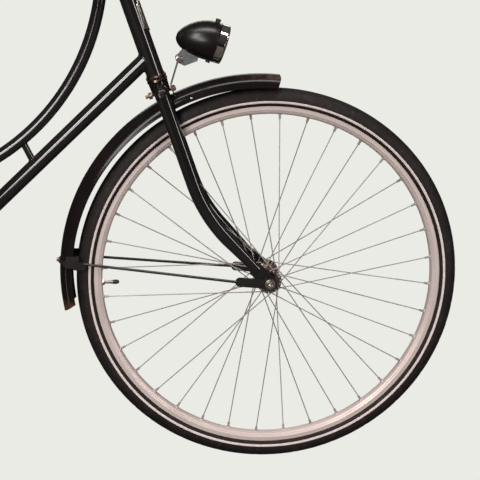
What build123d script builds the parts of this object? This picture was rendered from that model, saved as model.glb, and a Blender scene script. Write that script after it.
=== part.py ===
from build123d import *
from math import acos, atan2, cos, degrees, hypot, pi, radians, sin, sqrt, tan
import os

# Step-through city bicycle with 28 inch wheels, parked upright on its double-leg centre stand.
# Millimetres. +X is forward, +Y the rider's left, +Z up. The origin is on the floor, mid-length.
# The front end, from the lamp to the mudguard's rear tip, follows a photograph; the rest is
# what such a bicycle has.

# Clearances
FIT = 0.3            # between neighbouring pieces of one body
PIN_FIT = 0.08       # radial, a turning pin in its bore
CAP_FIT = 0.15       # radial, a plugged-in piece

# Wheels
RIM_RADIUS = 318.7
TYRE_SHOW = 31.3       # tyre beyond the rim's edge
TYRE_RADIUS = RIM_RADIUS + TYRE_SHOW
TYRE_SECTION = 19.1
RIM_DEPTH = 15.2
RIM_WIDTH = 27.0
RIM_WALL = 1.8
SPOKES = 36
SPOKE_CROSSES = 3
SPOKE_DIA = 2.0
SPOKE_HOLE = 2.5       # in the hubs' flanges
HOLE_EDGE = 2.6        # hole centres in from a flange's rim
NIPPLE_LENGTH = 9.0
NIPPLE_DIA = 4.4
VALVE_DIA = 7.0
VALVE_LENGTH = 30.0
FRONT_PHASE = 7.5    # angle of the front wheel's first nipple, degrees
REAR_PHASE = 2.5

# Hubs: flange radius, flange centre from the middle, barrel radius, half width over locknuts
FRONT_OLD = 100.0
FRONT_FLANGE = 23.0
FRONT_FLANGE_Y = 34.0
FRONT_BARREL = 13.0
REAR_OLD = 112.0
REAR_FLANGE = 31.0
REAR_FLANGE_Y = 26.0
REAR_BARREL = 24.0
FLANGE_THICK = 3.2
AXLE_DIA = 9.5
NUT_DIA = 17.3
NUT_LENGTH = 13.0

# Frame geometry
FRONT_CENTRE = TYRE_RADIUS + 335.0   # bottom bracket to front axle, level
BB_DROP = 50.0         # bottom bracket below the front axle
REAR_LIFT = 12.0       # rear tyre off the floor when parked
CHAIN_STAY = TYRE_RADIUS + 109.0
SEAT_ANGLE = 68.5
SEAT_TUBE_LENGTH = 500.0
HEAD_ANGLE = 69.9
FORK_RAKE = 71.0
FORK_BEND_ANGLE = 24.0
FORK_BEND_RADIUS = 280.0
CROWN_TOP = TYRE_RADIUS + 57.0   # along the steering axis from the axle's foot
HEAD_TUBE_LENGTH = 275.0
DOWN_ANGLE = 44.8
DOWN_OFFSET = TYRE_RADIUS + 92.4    # down tube axis to front axle
LOOP_RADIUS = 404.3    # curved upper tube, in the plane of the frame
LOOP_GAP = 49.8        # its axis over the down tube's, where they are nearest
LOOP_ALONG = -111.1    # that place along the down tube, from the point nearest the front axle

# Tubes, outer diameters
HEAD_DIA = 31.8
HEAD_WALL = 1.7
DOWN_DIA = 28.0
LOOP_DIA = 22.2
BRACE_DIA = 12.0
SEAT_DIA = 28.6
SEAT_WALL = 1.3
STAY_DIA = 16.0
SEAT_STAY_DIA = 13.0
STEERER_DIA = 25.4
STEERER_BORE = 22.4
BB_DIA = 40.0
BB_WIDTH = 72.0
SPINDLE_DIA = 17.0

# Mudguards: ridge radius, section radius, depth of the section, sheet
FRONT_GUARD_RADIUS = TYRE_RADIUS + 13.3
FRONT_GUARD_BACK = 17.3   # its centre behind and above the axle
FRONT_GUARD_UP = 12.2
FRONT_GUARD_FROM = 85.0   # degrees from forward, front end and rear end
FRONT_GUARD_TO = 192.6
REAR_GUARD_RADIUS = TYRE_RADIUS + 24.0
REAR_GUARD_FROM = -5.0
REAR_GUARD_TO = 196.0
GUARD_SECTION = 28.0
GUARD_DEPTH = 22.0
GUARD_SHEET = 1.4
BEAD_DIA = 3.0
GUARD_STAY_DIA = 5.0

# Cockpit
STEM_RISE = 62.0
STEM_REACH = 48.0
BAR_DIA = 22.2
CLAMP_DIA = 25.4
BAR_WIDTH = 600.0
GRIP_DIA = 31.0
GRIP_LENGTH = 122.0

# Saddle
POST_DIA = 25.4
POST_SHOWN = 95.0
SADDLE_LENGTH = 268.0
SADDLE_WIDTH = 216.0
SADDLE_THICK = 52.0
SPRING_DIA = 34.0
SPRING_HEIGHT = 46.0

# Drive
CRANK_LENGTH = 170.0
CRANK_INNER = 74.0     # inner face of the arms from the middle
CRANK_THICK = 13.0
CRANK_TILT = 35.0      # right arm forward and down, left arm back and up
PEDAL_LENGTH = 98.0
PEDAL_WIDTH = 84.0
PEDAL_THICK = 26.0
PEDAL_AXLE_DIA = 12.0
CASE_INNER = 36.0
CASE_OUTER = 68.0
CASE_FRONT = 90.0      # end radii of the chain case
CASE_REAR = 52.0
CASE_WALL = 1.6
CASE_STEP = 5.0        # raised face of the case

# Lamp
LAMP_DIA = 70.0
LAMP_SHELL = 72.0
LAMP_RING = 16.0
LAMP_TILT = 16.6
LAMP_DROOP = 9.4       # nose of the shell below the axis of its ring
LAMP_AHEAD = 88.0      # front of the lamp from the wheel's centre line, back
LAMP_UP = CROWN_TOP + 17.2

# Stand
STAND_PIVOT_BACK = 75.0
STAND_PIVOT_DROP = 70.0
STAND_TUBE = 14.0
STAND_LEAD = 18.0      # feet ahead of the pivot, past the point of balance
STAND_SPREAD = 105.0
STAND_PIN = 10.0

# Carrier
CARRIER_ROD = 9.0
CARRIER_LENGTH = 370.0
CARRIER_WIDTH = 118.0
CARRIER_GAP = 26.0     # rods above the rear mudguard
REAR_LAMP_WIDE = 92.0
REAR_LAMP_TALL = 34.0
REAR_LAMP_DEEP = 18.0

# Derived places
WHEELBASE = FRONT_CENTRE + sqrt(CHAIN_STAY ** 2 - (BB_DROP + REAR_LIFT) ** 2)
LENGTH = TYRE_RADIUS + WHEELBASE + REAR_GUARD_RADIUS
FRONT = Vector(LENGTH / 2 - TYRE_RADIUS, 0, TYRE_RADIUS)
REAR = Vector(FRONT.X - WHEELBASE, 0, TYRE_RADIUS + REAR_LIFT)
BB = Vector(FRONT.X - FRONT_CENTRE, 0, TYRE_RADIUS - BB_DROP)
HEAD_UP = Vector(-cos(radians(HEAD_ANGLE)), 0, sin(radians(HEAD_ANGLE)))
HEAD_FORE = Vector(sin(radians(HEAD_ANGLE)), 0, cos(radians(HEAD_ANGLE)))
SEAT_UP = Vector(-cos(radians(SEAT_ANGLE)), 0, sin(radians(SEAT_ANGLE)))
DOWN_DIR = Vector(cos(radians(DOWN_ANGLE)), 0, sin(radians(DOWN_ANGLE)))
DOWN_NORMAL = Vector(-sin(radians(DOWN_ANGLE)), 0, cos(radians(DOWN_ANGLE)))
LATERAL = Vector(0, 1, 0)


def steer(up, fore=0.0, side=0.0):
    """A point by its height along the steering axis and its distance ahead of it."""
    return FRONT - HEAD_FORE * FORK_RAKE + HEAD_UP * up + HEAD_FORE * fore + LATERAL * side


def seat(up, side=0.0):
    """A point by its height along the seat tube above the bottom bracket."""
    return BB + SEAT_UP * up + LATERAL * side


def polar(centre, radius, angle, side=0.0):
    """A point by its angle about a wheel, counted from forward, upwards."""
    a = radians(angle)
    return centre + Vector(radius * cos(a), side, radius * sin(a))


def tube(start, end, dia, bore=0.0):
    """A straight round tube or rod between two points."""
    axis = end - start
    body = Solid.make_cylinder(dia / 2, axis.length, Plane(origin=start, z_dir=axis))
    if bore:
        body = body - Solid.make_cylinder(bore / 2, axis.length, Plane(origin=start, z_dir=axis))
    return body


def rod(points, dia, radii):
    """A round rod along straight runs joined by tangent arcs."""
    path = FilletPolyline(*points, radius=radii)
    section = Plane(origin=path @ 0, z_dir=path % 0) * Circle(dia / 2)
    return sweep(section, path=path)


def turned(points, origin, axis):
    """A solid of revolution: points are (along the axis, radius), first and last on the axis."""
    side = LATERAL if abs(axis.Y) < 0.5 else Vector(1, 0, 0)
    plane = Plane(origin=origin, x_dir=axis, z_dir=axis.cross(side))
    face = plane * make_face(Polyline(*points, close=True))
    return revolve(face, Axis(origin, axis), 360)


def ring(points, centre):
    """A ring about a wheel's axle: points are (across, radius) round its section."""
    plane = Plane(origin=centre, x_dir=LATERAL, z_dir=Vector(-1, 0, 0))
    face = plane * make_face(Polyline(*points, close=True))
    return revolve(face, Axis(centre, LATERAL), 360)


def mirrored(body):
    return body.mirror(Plane.XZ)


def both(body):
    """The piece and its twin on the other side."""
    return Compound(children=[body, mirrored(body)])


# Wheels
def tyre(centre):
    """A fat round section on a narrow foot that sits between the rim's flanges."""
    mid = TYRE_RADIUS - TYRE_SECTION
    foot = RIM_WIDTH / 2 - RIM_WALL - FIT
    neck = RIM_RADIUS + FIT
    start = degrees(acos(sqrt(TYRE_SECTION ** 2 - (mid - neck) ** 2) / TYRE_SECTION))
    steps = 8
    turn = (180 + 2 * start) / steps
    crown = [(TYRE_SECTION * cos(radians(-start + turn * i)),
              mid + TYRE_SECTION * sin(radians(-start + turn * i))) for i in range(steps + 1)]
    seat_radius = RIM_RADIUS - RIM_DEPTH + RIM_WALL + 5.0
    foot_points = [(-foot, neck), (-foot, seat_radius), (foot, seat_radius), (foot, neck)]
    return ring(crown + foot_points, centre)


def rim(centre):
    """A rim with upright flanges, a rounded well and a bore for the spokes' nipples."""
    half = RIM_WIDTH / 2
    inner = RIM_RADIUS - RIM_DEPTH
    floor = inner + RIM_WALL + 3.0
    points = [(half, RIM_RADIUS), (half, RIM_RADIUS - 7), (half * 0.7, inner + 2), (half * 0.35, inner),
              (-half * 0.35, inner), (-half * 0.7, inner + 2), (-half, RIM_RADIUS - 7), (-half, RIM_RADIUS),
              (RIM_WALL - half, RIM_RADIUS), (RIM_WALL - half, floor), (half - RIM_WALL, floor),
              (half - RIM_WALL, RIM_RADIUS)]
    return ring(points, centre)


def hub(centre, flange, flange_y, barrel, width, phase):
    """Barrel, two drilled spoke flanges and the cones' dust caps, bored for the axle."""
    t = FLANGE_THICK / 2
    bore = AXLE_DIA / 2 + 0.5
    flat = flange - 2 * HOLE_EDGE
    right = [(flange_y - t - 3, barrel), (flange_y - t, flat), (flange_y - t, flange), (flange_y + t, flange),
             (flange_y + t, barrel * 0.8), (flange_y + 7, barrel * 0.72), (width / 2 - 4, barrel * 0.6),
             (width / 2 - 4, bore)]
    left = [(-y, r) for y, r in reversed(right)]
    pitch = 360 / SPOKES
    holes = []
    for i in range(SPOKES):
        side = 1 if i % 2 else -1
        at = polar(centre, flange - HOLE_EDGE, phase + i * pitch, side * flange_y)
        holes.append(tube(at - LATERAL * FLANGE_THICK, at + LATERAL * FLANGE_THICK, SPOKE_HOLE))
    return ring(right + left, centre) - holes


def spokes(centre, flange, flange_y, phase):
    """Laced wheel: half the spokes leave each flange, turn about, leading and trailing in pairs.

    Each wire turns through its hole in the flange to a head on the far face, alternately outside
    and inside, and its nipple ends under the rim.
    """
    pieces = []
    hole_radius = flange - HOLE_EDGE
    rim_inner = RIM_RADIUS - RIM_DEPTH - FIT
    pitch = 360 / SPOKES
    lead = SPOKE_CROSSES * 2 * pitch
    dip = flange_y * sqrt(flange ** 2 - hole_radius ** 2) / rim_inner
    off_face = FLANGE_THICK / 2 + SPOKE_DIA / 2 + dip + FIT
    for i in range(SPOKES):
        side = 1 if i % 2 else -1
        trailing = (i // 2) % 2
        rim_angle = phase + i * pitch
        hub_angle = rim_angle + (lead if trailing else -lead)
        out = off_face if trailing else -off_face
        start = polar(centre, hole_radius, hub_angle, side * (flange_y + out))
        end = polar(centre, rim_inner, rim_angle, side * 2.2)
        way = (end - start).normalized()
        base = Plane(origin=start, z_dir=way)
        length = (end - start).length
        wire = extrude(base * RegularPolygon(SPOKE_DIA / 2, 6), length - NIPPLE_LENGTH / 2)
        nipple = extrude(Plane(origin=end, z_dir=way * -1) * RegularPolygon(NIPPLE_DIA / 2, 6), NIPPLE_LENGTH)
        turn = LATERAL * (side if trailing else -side)
        face = polar(centre, hole_radius, hub_angle, side * flange_y) - turn * (FLANGE_THICK / 2 + FIT)
        elbow = extrude(Plane(origin=face, z_dir=turn) * RegularPolygon(SPOKE_DIA / 2, 6),
                        (start - face).length + SPOKE_DIA / 2)
        head = extrude(Plane(origin=face, z_dir=turn * -1) * RegularPolygon(SPOKE_DIA, 8), SPOKE_DIA / 2)
        pieces.append(wire + nipple + elbow + head)
    return Compound(children=pieces)


def valve(centre, angle):
    """A valve stem with its cap, pointing at the axle, half-way between two nipples."""
    top = RIM_RADIUS - RIM_DEPTH - FIT
    foot = polar(centre, top, angle)
    inwards = (centre - foot).normalized()
    r = VALVE_DIA / 2
    length = VALVE_LENGTH
    points = [(0, 0), (0, r * 1.15), (3, r * 1.15), (3, r * 0.8), (length * 0.5, r * 0.8),
              (length * 0.5, r), (length * 0.93, r * 0.9), (length, r * 0.5), (length, 0)]
    return turned(points, foot, inwards)


def axle(centre, width, plates):
    """A fixed axle with a domed nut at each end, outside the fork ends and what hangs on them."""
    outside = width / 2 + plates
    body = tube(centre - LATERAL * (outside + 1), centre + LATERAL * (outside + 1), AXLE_DIA - 0.2)
    hexagon = extrude(Plane(origin=centre + LATERAL * outside, z_dir=LATERAL)
                      * RegularPolygon(NUT_DIA / 2, 6), NUT_LENGTH * 0.5)
    dome = [(0, 0), (0, NUT_DIA * 0.42), (NUT_LENGTH * 0.62, NUT_DIA * 0.42),
            (NUT_LENGTH * 0.9, NUT_DIA * 0.28), (NUT_LENGTH, 0)]
    nut = hexagon + turned(dome, centre + LATERAL * outside, LATERAL)
    collar = tube(centre + LATERAL * (width / 2 - 3.5), centre + LATERAL * (width / 2 - FIT / 2), NUT_DIA)
    half = nut + collar
    return body + half + mirrored(half)


BRAKE_ARM = 140.0      # length of the back-pedal brake's arm
BRAKE_ARM_DROP = 15.0  # its end under the chain stay's middle


def rear_axle():
    """The rear axle with the back-pedal brake's arm, clipped to the left chain stay."""
    body = axle(REAR, REAR_OLD, DROPOUT_THICK + FIT)
    way = (BB - REAR).normalized()
    down = Vector(way.Z, 0, -way.X)
    thick = 3.0
    inner = REAR_OLD / 2 - FIT - thick
    flat = Plane(origin=REAR + LATERAL * inner, x_dir=way, z_dir=LATERAL)
    drop = -BRAKE_ARM_DROP if flat.y_dir.dot(down) < 0 else BRAKE_ARM_DROP
    bar = make_face(Polyline((0, 13), (BRAKE_ARM, drop + 6), (BRAKE_ARM, drop - 6), (0, -13), close=True))
    arm = extrude(flat * (bar + Circle(15) + Pos(BRAKE_ARM, drop) * Circle(6)), thick)
    arm = arm - tube(REAR, REAR + LATERAL * 90, AXLE_DIA - 0.2)
    near, far = [stay_point(back, side) for back, side in CHAIN_STAY_LINE[1:]]
    stay_way = (far - near).normalized()
    at = near + stay_way * ((far - near).length - (BRAKE_ARM - (CHAIN_STAY - CHAIN_STAY_LINE[2][0])))
    clip = tube(at - stay_way * 6, at + stay_way * 6, STAY_DIA + 4)
    clip = clip - tube(at - stay_way * 9, at + stay_way * 9, STAY_DIA + FIT)
    cut = tube(near, far, STAY_DIA + FIT)
    return body + largest(arm - cut) + clip


# Fork
BLADE_LONG = 25.0
BLADE_WIDE = 19.0
BLADE_TIP = 15.0
BLADE_TOP_Y = 38.0
CROWN_DROP = 26.0
END_THICK = 5.0
END_RADIUS = 13.0
BEND_UP = FORK_RAKE / tan(radians(FORK_BEND_ANGLE))
BEND_REACH = FORK_BEND_RADIUS * tan(radians(FORK_BEND_ANGLE / 2))
BLADE_TOP = CROWN_TOP - CROWN_DROP
BLADE_SPLAY = degrees(atan2(FRONT_OLD / 2 + END_THICK / 2 - BLADE_TOP_Y, BLADE_TOP))
BOLT_UP = CROWN_TOP - 20.0
BOLT_DIA = 6.0
STRAP_THICK = 2.2


def blade_section(grow=0.0):
    """Flat-sided oval of the blades and the crown's legs."""
    return SlotOverall(BLADE_LONG + grow, BLADE_WIDE + grow)


def fork_crown():
    """Arched crown: shoulders that turn down into the blades, under a short round base."""
    up = CROWN_TOP - BLADE_WIDE * 0.75
    low = BLADE_TOP + FIT + BLADE_WIDE / 2 * sin(radians(BLADE_SPLAY))
    path = FilletPolyline(steer(low, 0, -BLADE_TOP_Y), steer(up, 0, -BLADE_TOP_Y),
                          steer(up, 0, BLADE_TOP_Y), steer(low, 0, BLADE_TOP_Y), radius=BLADE_WIDE * 0.52)
    section = Plane(origin=path @ 0, x_dir=HEAD_FORE, z_dir=path % 0) * blade_section(1.0)
    arch = sweep(section, path=path)
    base = Solid.make_cone(16.5, 17.5, 22, Plane(origin=steer(CROWN_TOP - 22), z_dir=HEAD_UP))
    body = arch + base
    body = body - tube(steer(BOLT_UP, -40), steer(BOLT_UP, 40), BOLT_DIA + FIT)
    return body - guard_room(FIT)


def crown_bolt():
    """The bolt through the crown that holds the mudguard's tab behind and the lamp's strap ahead."""
    shank = tube(steer(BOLT_UP, -30), steer(BOLT_UP, 27), BOLT_DIA)
    nut_start = STRAP_FORE + STRAP_THICK / 2 + FIT
    nut = extrude(Plane(origin=steer(BOLT_UP, nut_start), z_dir=HEAD_FORE) * RegularPolygon(5.4, 6), 4.5)
    spacer = (tube(steer(BOLT_UP, 17.8), steer(BOLT_UP, STRAP_FORE - STRAP_THICK / 2 - FIT / 2), 10))
    head = tube(steer(BOLT_UP, -24), steer(BOLT_UP, -17.8), 12)
    return shank + nut + spacer + head


def fork_blades():
    """Oval blades, raked by one bend, drawn to flat ends that take the axle."""
    bend = Vector(BEND_UP + BEND_REACH, 0)
    top = Plane(origin=steer(BLADE_TOP), x_dir=HEAD_FORE, z_dir=HEAD_UP * -1)
    oval = blade_section()
    straight = extrude(top * oval, BLADE_TOP - bend.X)
    bend_top = Plane(origin=steer(bend.X), x_dir=HEAD_FORE, z_dir=HEAD_UP * -1)
    hinge = Axis(steer(bend.X, FORK_BEND_RADIUS), LATERAL)
    curve = revolve(bend_top * oval, hinge, -FORK_BEND_ANGLE)
    raked = (HEAD_UP * -cos(radians(FORK_BEND_ANGLE)) + HEAD_FORE * sin(radians(FORK_BEND_ANGLE)))
    cross = LATERAL.cross(raked) * -1
    low_start = FRONT - raked * (FORK_RAKE / sin(radians(FORK_BEND_ANGLE)) - BEND_REACH)
    tip = FRONT - raked * 34.0
    loft_face = [Plane(origin=low_start, x_dir=cross, z_dir=raked) * oval,
                 Plane(origin=tip, x_dir=cross, z_dir=raked) * SlotOverall(BLADE_TIP + 2, BLADE_TIP - 4)]
    lower = loft(loft_face, ruled=True)
    blade = straight + curve + lower
    blade = blade.rotate(Axis(steer(BLADE_TOP), HEAD_FORE), BLADE_SPLAY)
    blade = blade.translate(LATERAL * BLADE_TOP_Y)
    span = 36.0
    middle = FRONT - raked * span / 2
    plane = Plane(origin=middle + LATERAL * (FRONT_OLD / 2), x_dir=raked, z_dir=LATERAL)
    end = extrude(plane * SlotCenterToCenter(span, 2 * END_RADIUS), END_THICK)
    hole = tube(FRONT, FRONT + LATERAL * 80, AXLE_DIA + 0.2)
    return both(blade + end - hole)


def steerer():
    """Steerer tube on the crown with the lower race round its foot."""
    top = CROWN_TOP + HEAD_STACK
    r = CUP_DIA / 2
    race = headset_ring(CROWN_TOP, [(0, r - 2), (RACE_HEIGHT * 0.4, r), (RACE_HEIGHT, r - 1)], STEERER_BORE)
    return tube(steer(CROWN_TOP), steer(top), STEERER_DIA, STEERER_BORE) + race


# Headset heights along the steering axis
RACE_HEIGHT = 6.0
CUP_HEIGHT = 8.0
RACE_GAP = 0.4
HEAD_BOTTOM = CROWN_TOP + RACE_HEIGHT + RACE_GAP + CUP_HEIGHT
HEAD_TOP = HEAD_BOTTOM + HEAD_TUBE_LENGTH
CUP_TOP = HEAD_TOP + CUP_HEIGHT
NUT_HEIGHT = 17.0
HEAD_STACK = CUP_TOP + RACE_GAP + NUT_HEIGHT - CROWN_TOP
CUP_DIA = 38.0


def headset_ring(bottom, profile, bore):
    """A turned ring on the steering axis: profile rows are (height, radius)."""
    body = turned([(profile[0][0], 0)] + profile + [(profile[-1][0], 0)], steer(bottom), HEAD_UP)
    top = max(height for height, radius in profile)
    return body - tube(steer(bottom), steer(bottom + top), bore)


def head_cups():
    """Pressed cups under and over the head tube, each with a rolled flange."""
    r = CUP_DIA / 2
    low = headset_ring(HEAD_BOTTOM - CUP_HEIGHT,
                       [(0, r - 1), (CUP_HEIGHT * 0.5, r), (CUP_HEIGHT * 0.75, HEAD_DIA / 2 + 1.2),
                        (CUP_HEIGHT - 0.1, HEAD_DIA / 2 + 1.2)], STEERER_DIA + 1.6)
    high = headset_ring(HEAD_TOP + 0.1,
                        [(0, HEAD_DIA / 2 + 1.2), (CUP_HEIGHT * 0.25, HEAD_DIA / 2 + 1.2),
                         (CUP_HEIGHT * 0.5, r), (CUP_HEIGHT - 0.1, r - 1)], STEERER_DIA + 1.6)
    return Compound(children=[low, high])


def head_locknut():
    """Upper race, washer and a hexagonal locknut."""
    r = CUP_DIA / 2
    start = CUP_TOP + RACE_GAP
    body = headset_ring(start, [(0, r - 1), (5, r - 1), (6, r - 3), (9, r - 3)], STEERER_DIA + 2 * CAP_FIT)
    hexagon = extrude(Plane(origin=steer(start + 9), x_dir=HEAD_FORE, z_dir=HEAD_UP)
                      * RegularPolygon(18.5, 6), NUT_HEIGHT - 9)
    return body + (hexagon - tube(steer(start + 9), steer(start + NUT_HEIGHT), STEERER_DIA + 2 * CAP_FIT))


# Frame
SEAT_TOP = SEAT_TUBE_LENGTH
BRACE_ANGLE = 27.0
BRACE_AT = -49.7       # where the strut leaves the curved tube, degrees about the curve's centre


def head_tube():
    return tube(steer(HEAD_BOTTOM), steer(HEAD_TOP), HEAD_DIA, HEAD_DIA - 2 * HEAD_WALL)


def down_foot():
    """Where the down tube's axis passes nearest to the front axle."""
    return FRONT + DOWN_NORMAL * DOWN_OFFSET


def down_tube():
    foot = down_foot()
    low = foot - DOWN_DIR * (foot - BB).dot(DOWN_DIR)
    high = foot + DOWN_DIR * HEAD_TUBE_LENGTH
    body = tube(low, high, DOWN_DIA)
    body = body - tube(steer(HEAD_BOTTOM - 60), steer(HEAD_TOP), HEAD_DIA + FIT)
    body = body - tube(BB - LATERAL * BB_WIDTH, BB + LATERAL * BB_WIDTH, BB_DIA + FIT)
    return largest(body)


def largest(body):
    """The biggest solid of a cut piece."""
    return max(body.solids(), key=lambda s: s.volume)


LOOP_CENTRE = down_foot() + DOWN_DIR * LOOP_ALONG + DOWN_NORMAL * (LOOP_GAP + LOOP_RADIUS)
LOOP_HIGH = -5.7       # where the arc ends and runs on straight into the head tube, degrees


def loop_tube():
    """The curved upper tube: one long arc from the seat tube, then straight to the head tube."""
    low_angle = -100.0
    start = polar(LOOP_CENTRE, LOOP_RADIUS, low_angle)
    end = polar(LOOP_CENTRE, LOOP_RADIUS, LOOP_HIGH)
    tangent = Vector(-sin(radians(LOOP_HIGH)), 0, cos(radians(LOOP_HIGH)))
    side = Plane(origin=start, x_dir=LATERAL, z_dir=(LOOP_CENTRE - start).cross(LATERAL)) * Circle(LOOP_DIA / 2)
    arc = revolve(side, Axis(LOOP_CENTRE, LATERAL), -(LOOP_HIGH - low_angle))
    straight = tube(end, end + tangent * HEAD_TUBE_LENGTH / 2, LOOP_DIA)
    body = arc + straight
    body = body - tube(steer(HEAD_BOTTOM), steer(HEAD_TOP + HEAD_DIA), HEAD_DIA + FIT)
    body = body - tube(seat(0), seat(SEAT_TOP), SEAT_DIA + FIT)
    return largest(body)


def brace_tube():
    """Short strut between the curved tube and the down tube."""
    way = Vector(sin(radians(BRACE_ANGLE)), 0, -cos(radians(BRACE_ANGLE)))
    top = polar(LOOP_CENTRE, LOOP_RADIUS + LOOP_DIA / 4, BRACE_AT)
    body = tube(top, top + way * (LOOP_GAP + 10), BRACE_DIA)
    foot = down_foot()
    body = body - tube(foot - DOWN_DIR * FRONT_CENTRE, foot + DOWN_DIR * HEAD_TUBE_LENGTH, DOWN_DIA + FIT)
    torus = Solid.make_torus(LOOP_RADIUS, LOOP_DIA / 2 + FIT / 2, Plane(origin=LOOP_CENTRE, z_dir=LATERAL))
    return largest(body - torus)


def seat_tube():
    body = tube(seat(0), seat(SEAT_TOP), SEAT_DIA)
    body = body - tube(seat(SEAT_TOP - 150), seat(SEAT_TOP), SEAT_DIA - 2 * SEAT_WALL)
    body = body - tube(BB - LATERAL * BB_WIDTH, BB + LATERAL * BB_WIDTH, BB_DIA + FIT)
    foot = down_foot()
    body = body - tube(foot - DOWN_DIR * FRONT_CENTRE, foot, DOWN_DIA + FIT)
    return largest(body)


def seat_clamp():
    """A slit collar round the seat tube's mouth, with its bolt behind."""
    low = SEAT_TOP - 22
    bore = SEAT_DIA + FIT
    body = tube(seat(low), seat(SEAT_TOP), SEAT_DIA + 7, bore)
    back = Plane(origin=seat(low + 11), x_dir=LATERAL, z_dir=SEAT_UP)
    ears = extrude(back * Pos(0, SEAT_DIA / 2 + 8) * Rectangle(17, 14), 8, both=True)
    body = body + (ears - tube(seat(low), seat(SEAT_TOP), bore))
    slit = extrude(back * Pos(0, SEAT_DIA / 2 + 8) * Rectangle(2.4, 30), 20, both=True)
    body = body - slit
    bolt_at = back.from_local_coords(Vector(0, SEAT_DIA / 2 + 9, 0))
    bolt = tube(bolt_at - LATERAL * 15, bolt_at + LATERAL * 15, 6)
    return body + bolt


def bottom_bracket():
    body = tube(BB - LATERAL * BB_WIDTH / 2, BB + LATERAL * BB_WIDTH / 2, BB_DIA)
    return body - tube(BB - LATERAL * BB_WIDTH, BB + LATERAL * BB_WIDTH, SPINDLE_DIA + 2 * PIN_FIT)


STAY_BEND = 60.0
EYE_UP = 66.0          # eye for the carrier and the mudguard's stays, above the rear axle
EYE_BOLT = 6.0
EYE_AT = REAR + Vector(0, 0, EYE_UP)
DROPOUT_Y = REAR_OLD / 2
DROPOUT_THICK = 5.0
CHAIN_STAY_LINE = [(0.0, 27.0), (62.0, 37.5), (CHAIN_STAY - 29.0, DROPOUT_Y + DROPOUT_THICK / 2)]


def stay_point(back, side):
    """A point on the line from the bottom bracket to the rear axle."""
    way = (REAR - BB).normalized()
    return BB + way * back + LATERAL * side


def chain_stays():
    """Bowed stays with the bridge that carries the stand and the plates that take the axle."""
    bridge_y = 32.0
    body = tube(stay_point(BRIDGE_BACK, -bridge_y), stay_point(BRIDGE_BACK, bridge_y), BRIDGE_DIA)
    for side in (1, -1):
        points = [stay_point(back, side * out) for back, out in CHAIN_STAY_LINE]
        stay = rod(points, STAY_DIA, STAY_BEND)
        stay = largest(stay - tube(BB - LATERAL * BB_WIDTH, BB + LATERAL * BB_WIDTH, BB_DIA + FIT))
        body = body + stay + dropout(side)
    return body


def dropout(side):
    """Plate on the stay's end: the axle's hole, an arm to the seat stay and the eye above."""
    low, knee, high = seat_stay_points(side)
    near = min(side * DROPOUT_Y, side * (DROPOUT_Y + DROPOUT_THICK))
    arms = [((BB - REAR).normalized(), 30.0, 26.0), ((high - REAR).normalized(), SEAT_STAY_FOOT, 24.0),
            (Vector(0, 0, 1), EYE_UP, 15.0)]
    body = tube(REAR + LATERAL * near, REAR + LATERAL * (near + DROPOUT_THICK), 26)
    for way, span, wide in arms:
        flat = Vector(way.X, 0, way.Z).normalized()
        plane = Plane(origin=REAR + flat * span / 2 + LATERAL * near, x_dir=flat, z_dir=LATERAL)
        body = body + extrude(plane * SlotCenterToCenter(span, wide), DROPOUT_THICK)
    body = body - tube(REAR - LATERAL * 90, REAR + LATERAL * 90, AXLE_DIA + 0.2)
    body = body - tube(EYE_AT - LATERAL * 90, EYE_AT + LATERAL * 90, EYE_BOLT + FIT)
    body = body - tube(low - (knee - low).normalized() * FIT, knee, SEAT_STAY_DIA + FIT)
    return largest(body)


BRIDGE_DIA = 14.0
BRIDGE_BACK = 76.0
SEAT_STAY_TOP = 462.0
SEAT_STAY_KNEE = REAR_GUARD_RADIUS + 12.0   # distance of the stays' bend from the rear axle
SEAT_STAY_KNEE_Y = 38.5
SEAT_STAY_FOOT = 30.0


def seat_stay_points(side=1):
    """The stay's foot, its bend past the mudguard and its top on the seat tube."""
    way = (seat(SEAT_STAY_TOP) - REAR).normalized()
    low = REAR + way * SEAT_STAY_FOOT + LATERAL * side * (DROPOUT_Y + DROPOUT_THICK / 2)
    knee = REAR + way * SEAT_STAY_KNEE + LATERAL * side * SEAT_STAY_KNEE_Y
    high = seat(SEAT_STAY_TOP) + LATERAL * side * (SEAT_DIA / 2 + SEAT_STAY_DIA / 2 - 3.0)
    return low, knee, high


def seat_stay(side):
    low, knee, high = seat_stay_points(side)
    body = tube(low, knee, SEAT_STAY_DIA) + tube(knee, high, SEAT_STAY_DIA)
    for bend in (knee, high):
        body = body + Solid.make_sphere(SEAT_STAY_DIA / 2, Plane(origin=bend))
    return largest(body - tube(seat(0), seat(SEAT_TOP), SEAT_DIA + FIT))


def seat_stays():
    """Two stays from the axle ends to the seat tube, with the mudguard's bridge between them."""
    low, knee = seat_stay_points()[:2]
    bridge_dia = 8.0
    reach = REAR_GUARD_RADIUS + bridge_dia / 2 + FIT
    share = (reach - SEAT_STAY_FOOT) / (SEAT_STAY_KNEE - SEAT_STAY_FOOT)
    at = low + (knee - low) * share
    bridge = tube(Vector(at.X, -at.Y, at.Z), at, bridge_dia)
    return seat_stay(1) + seat_stay(-1) + bridge


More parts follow.
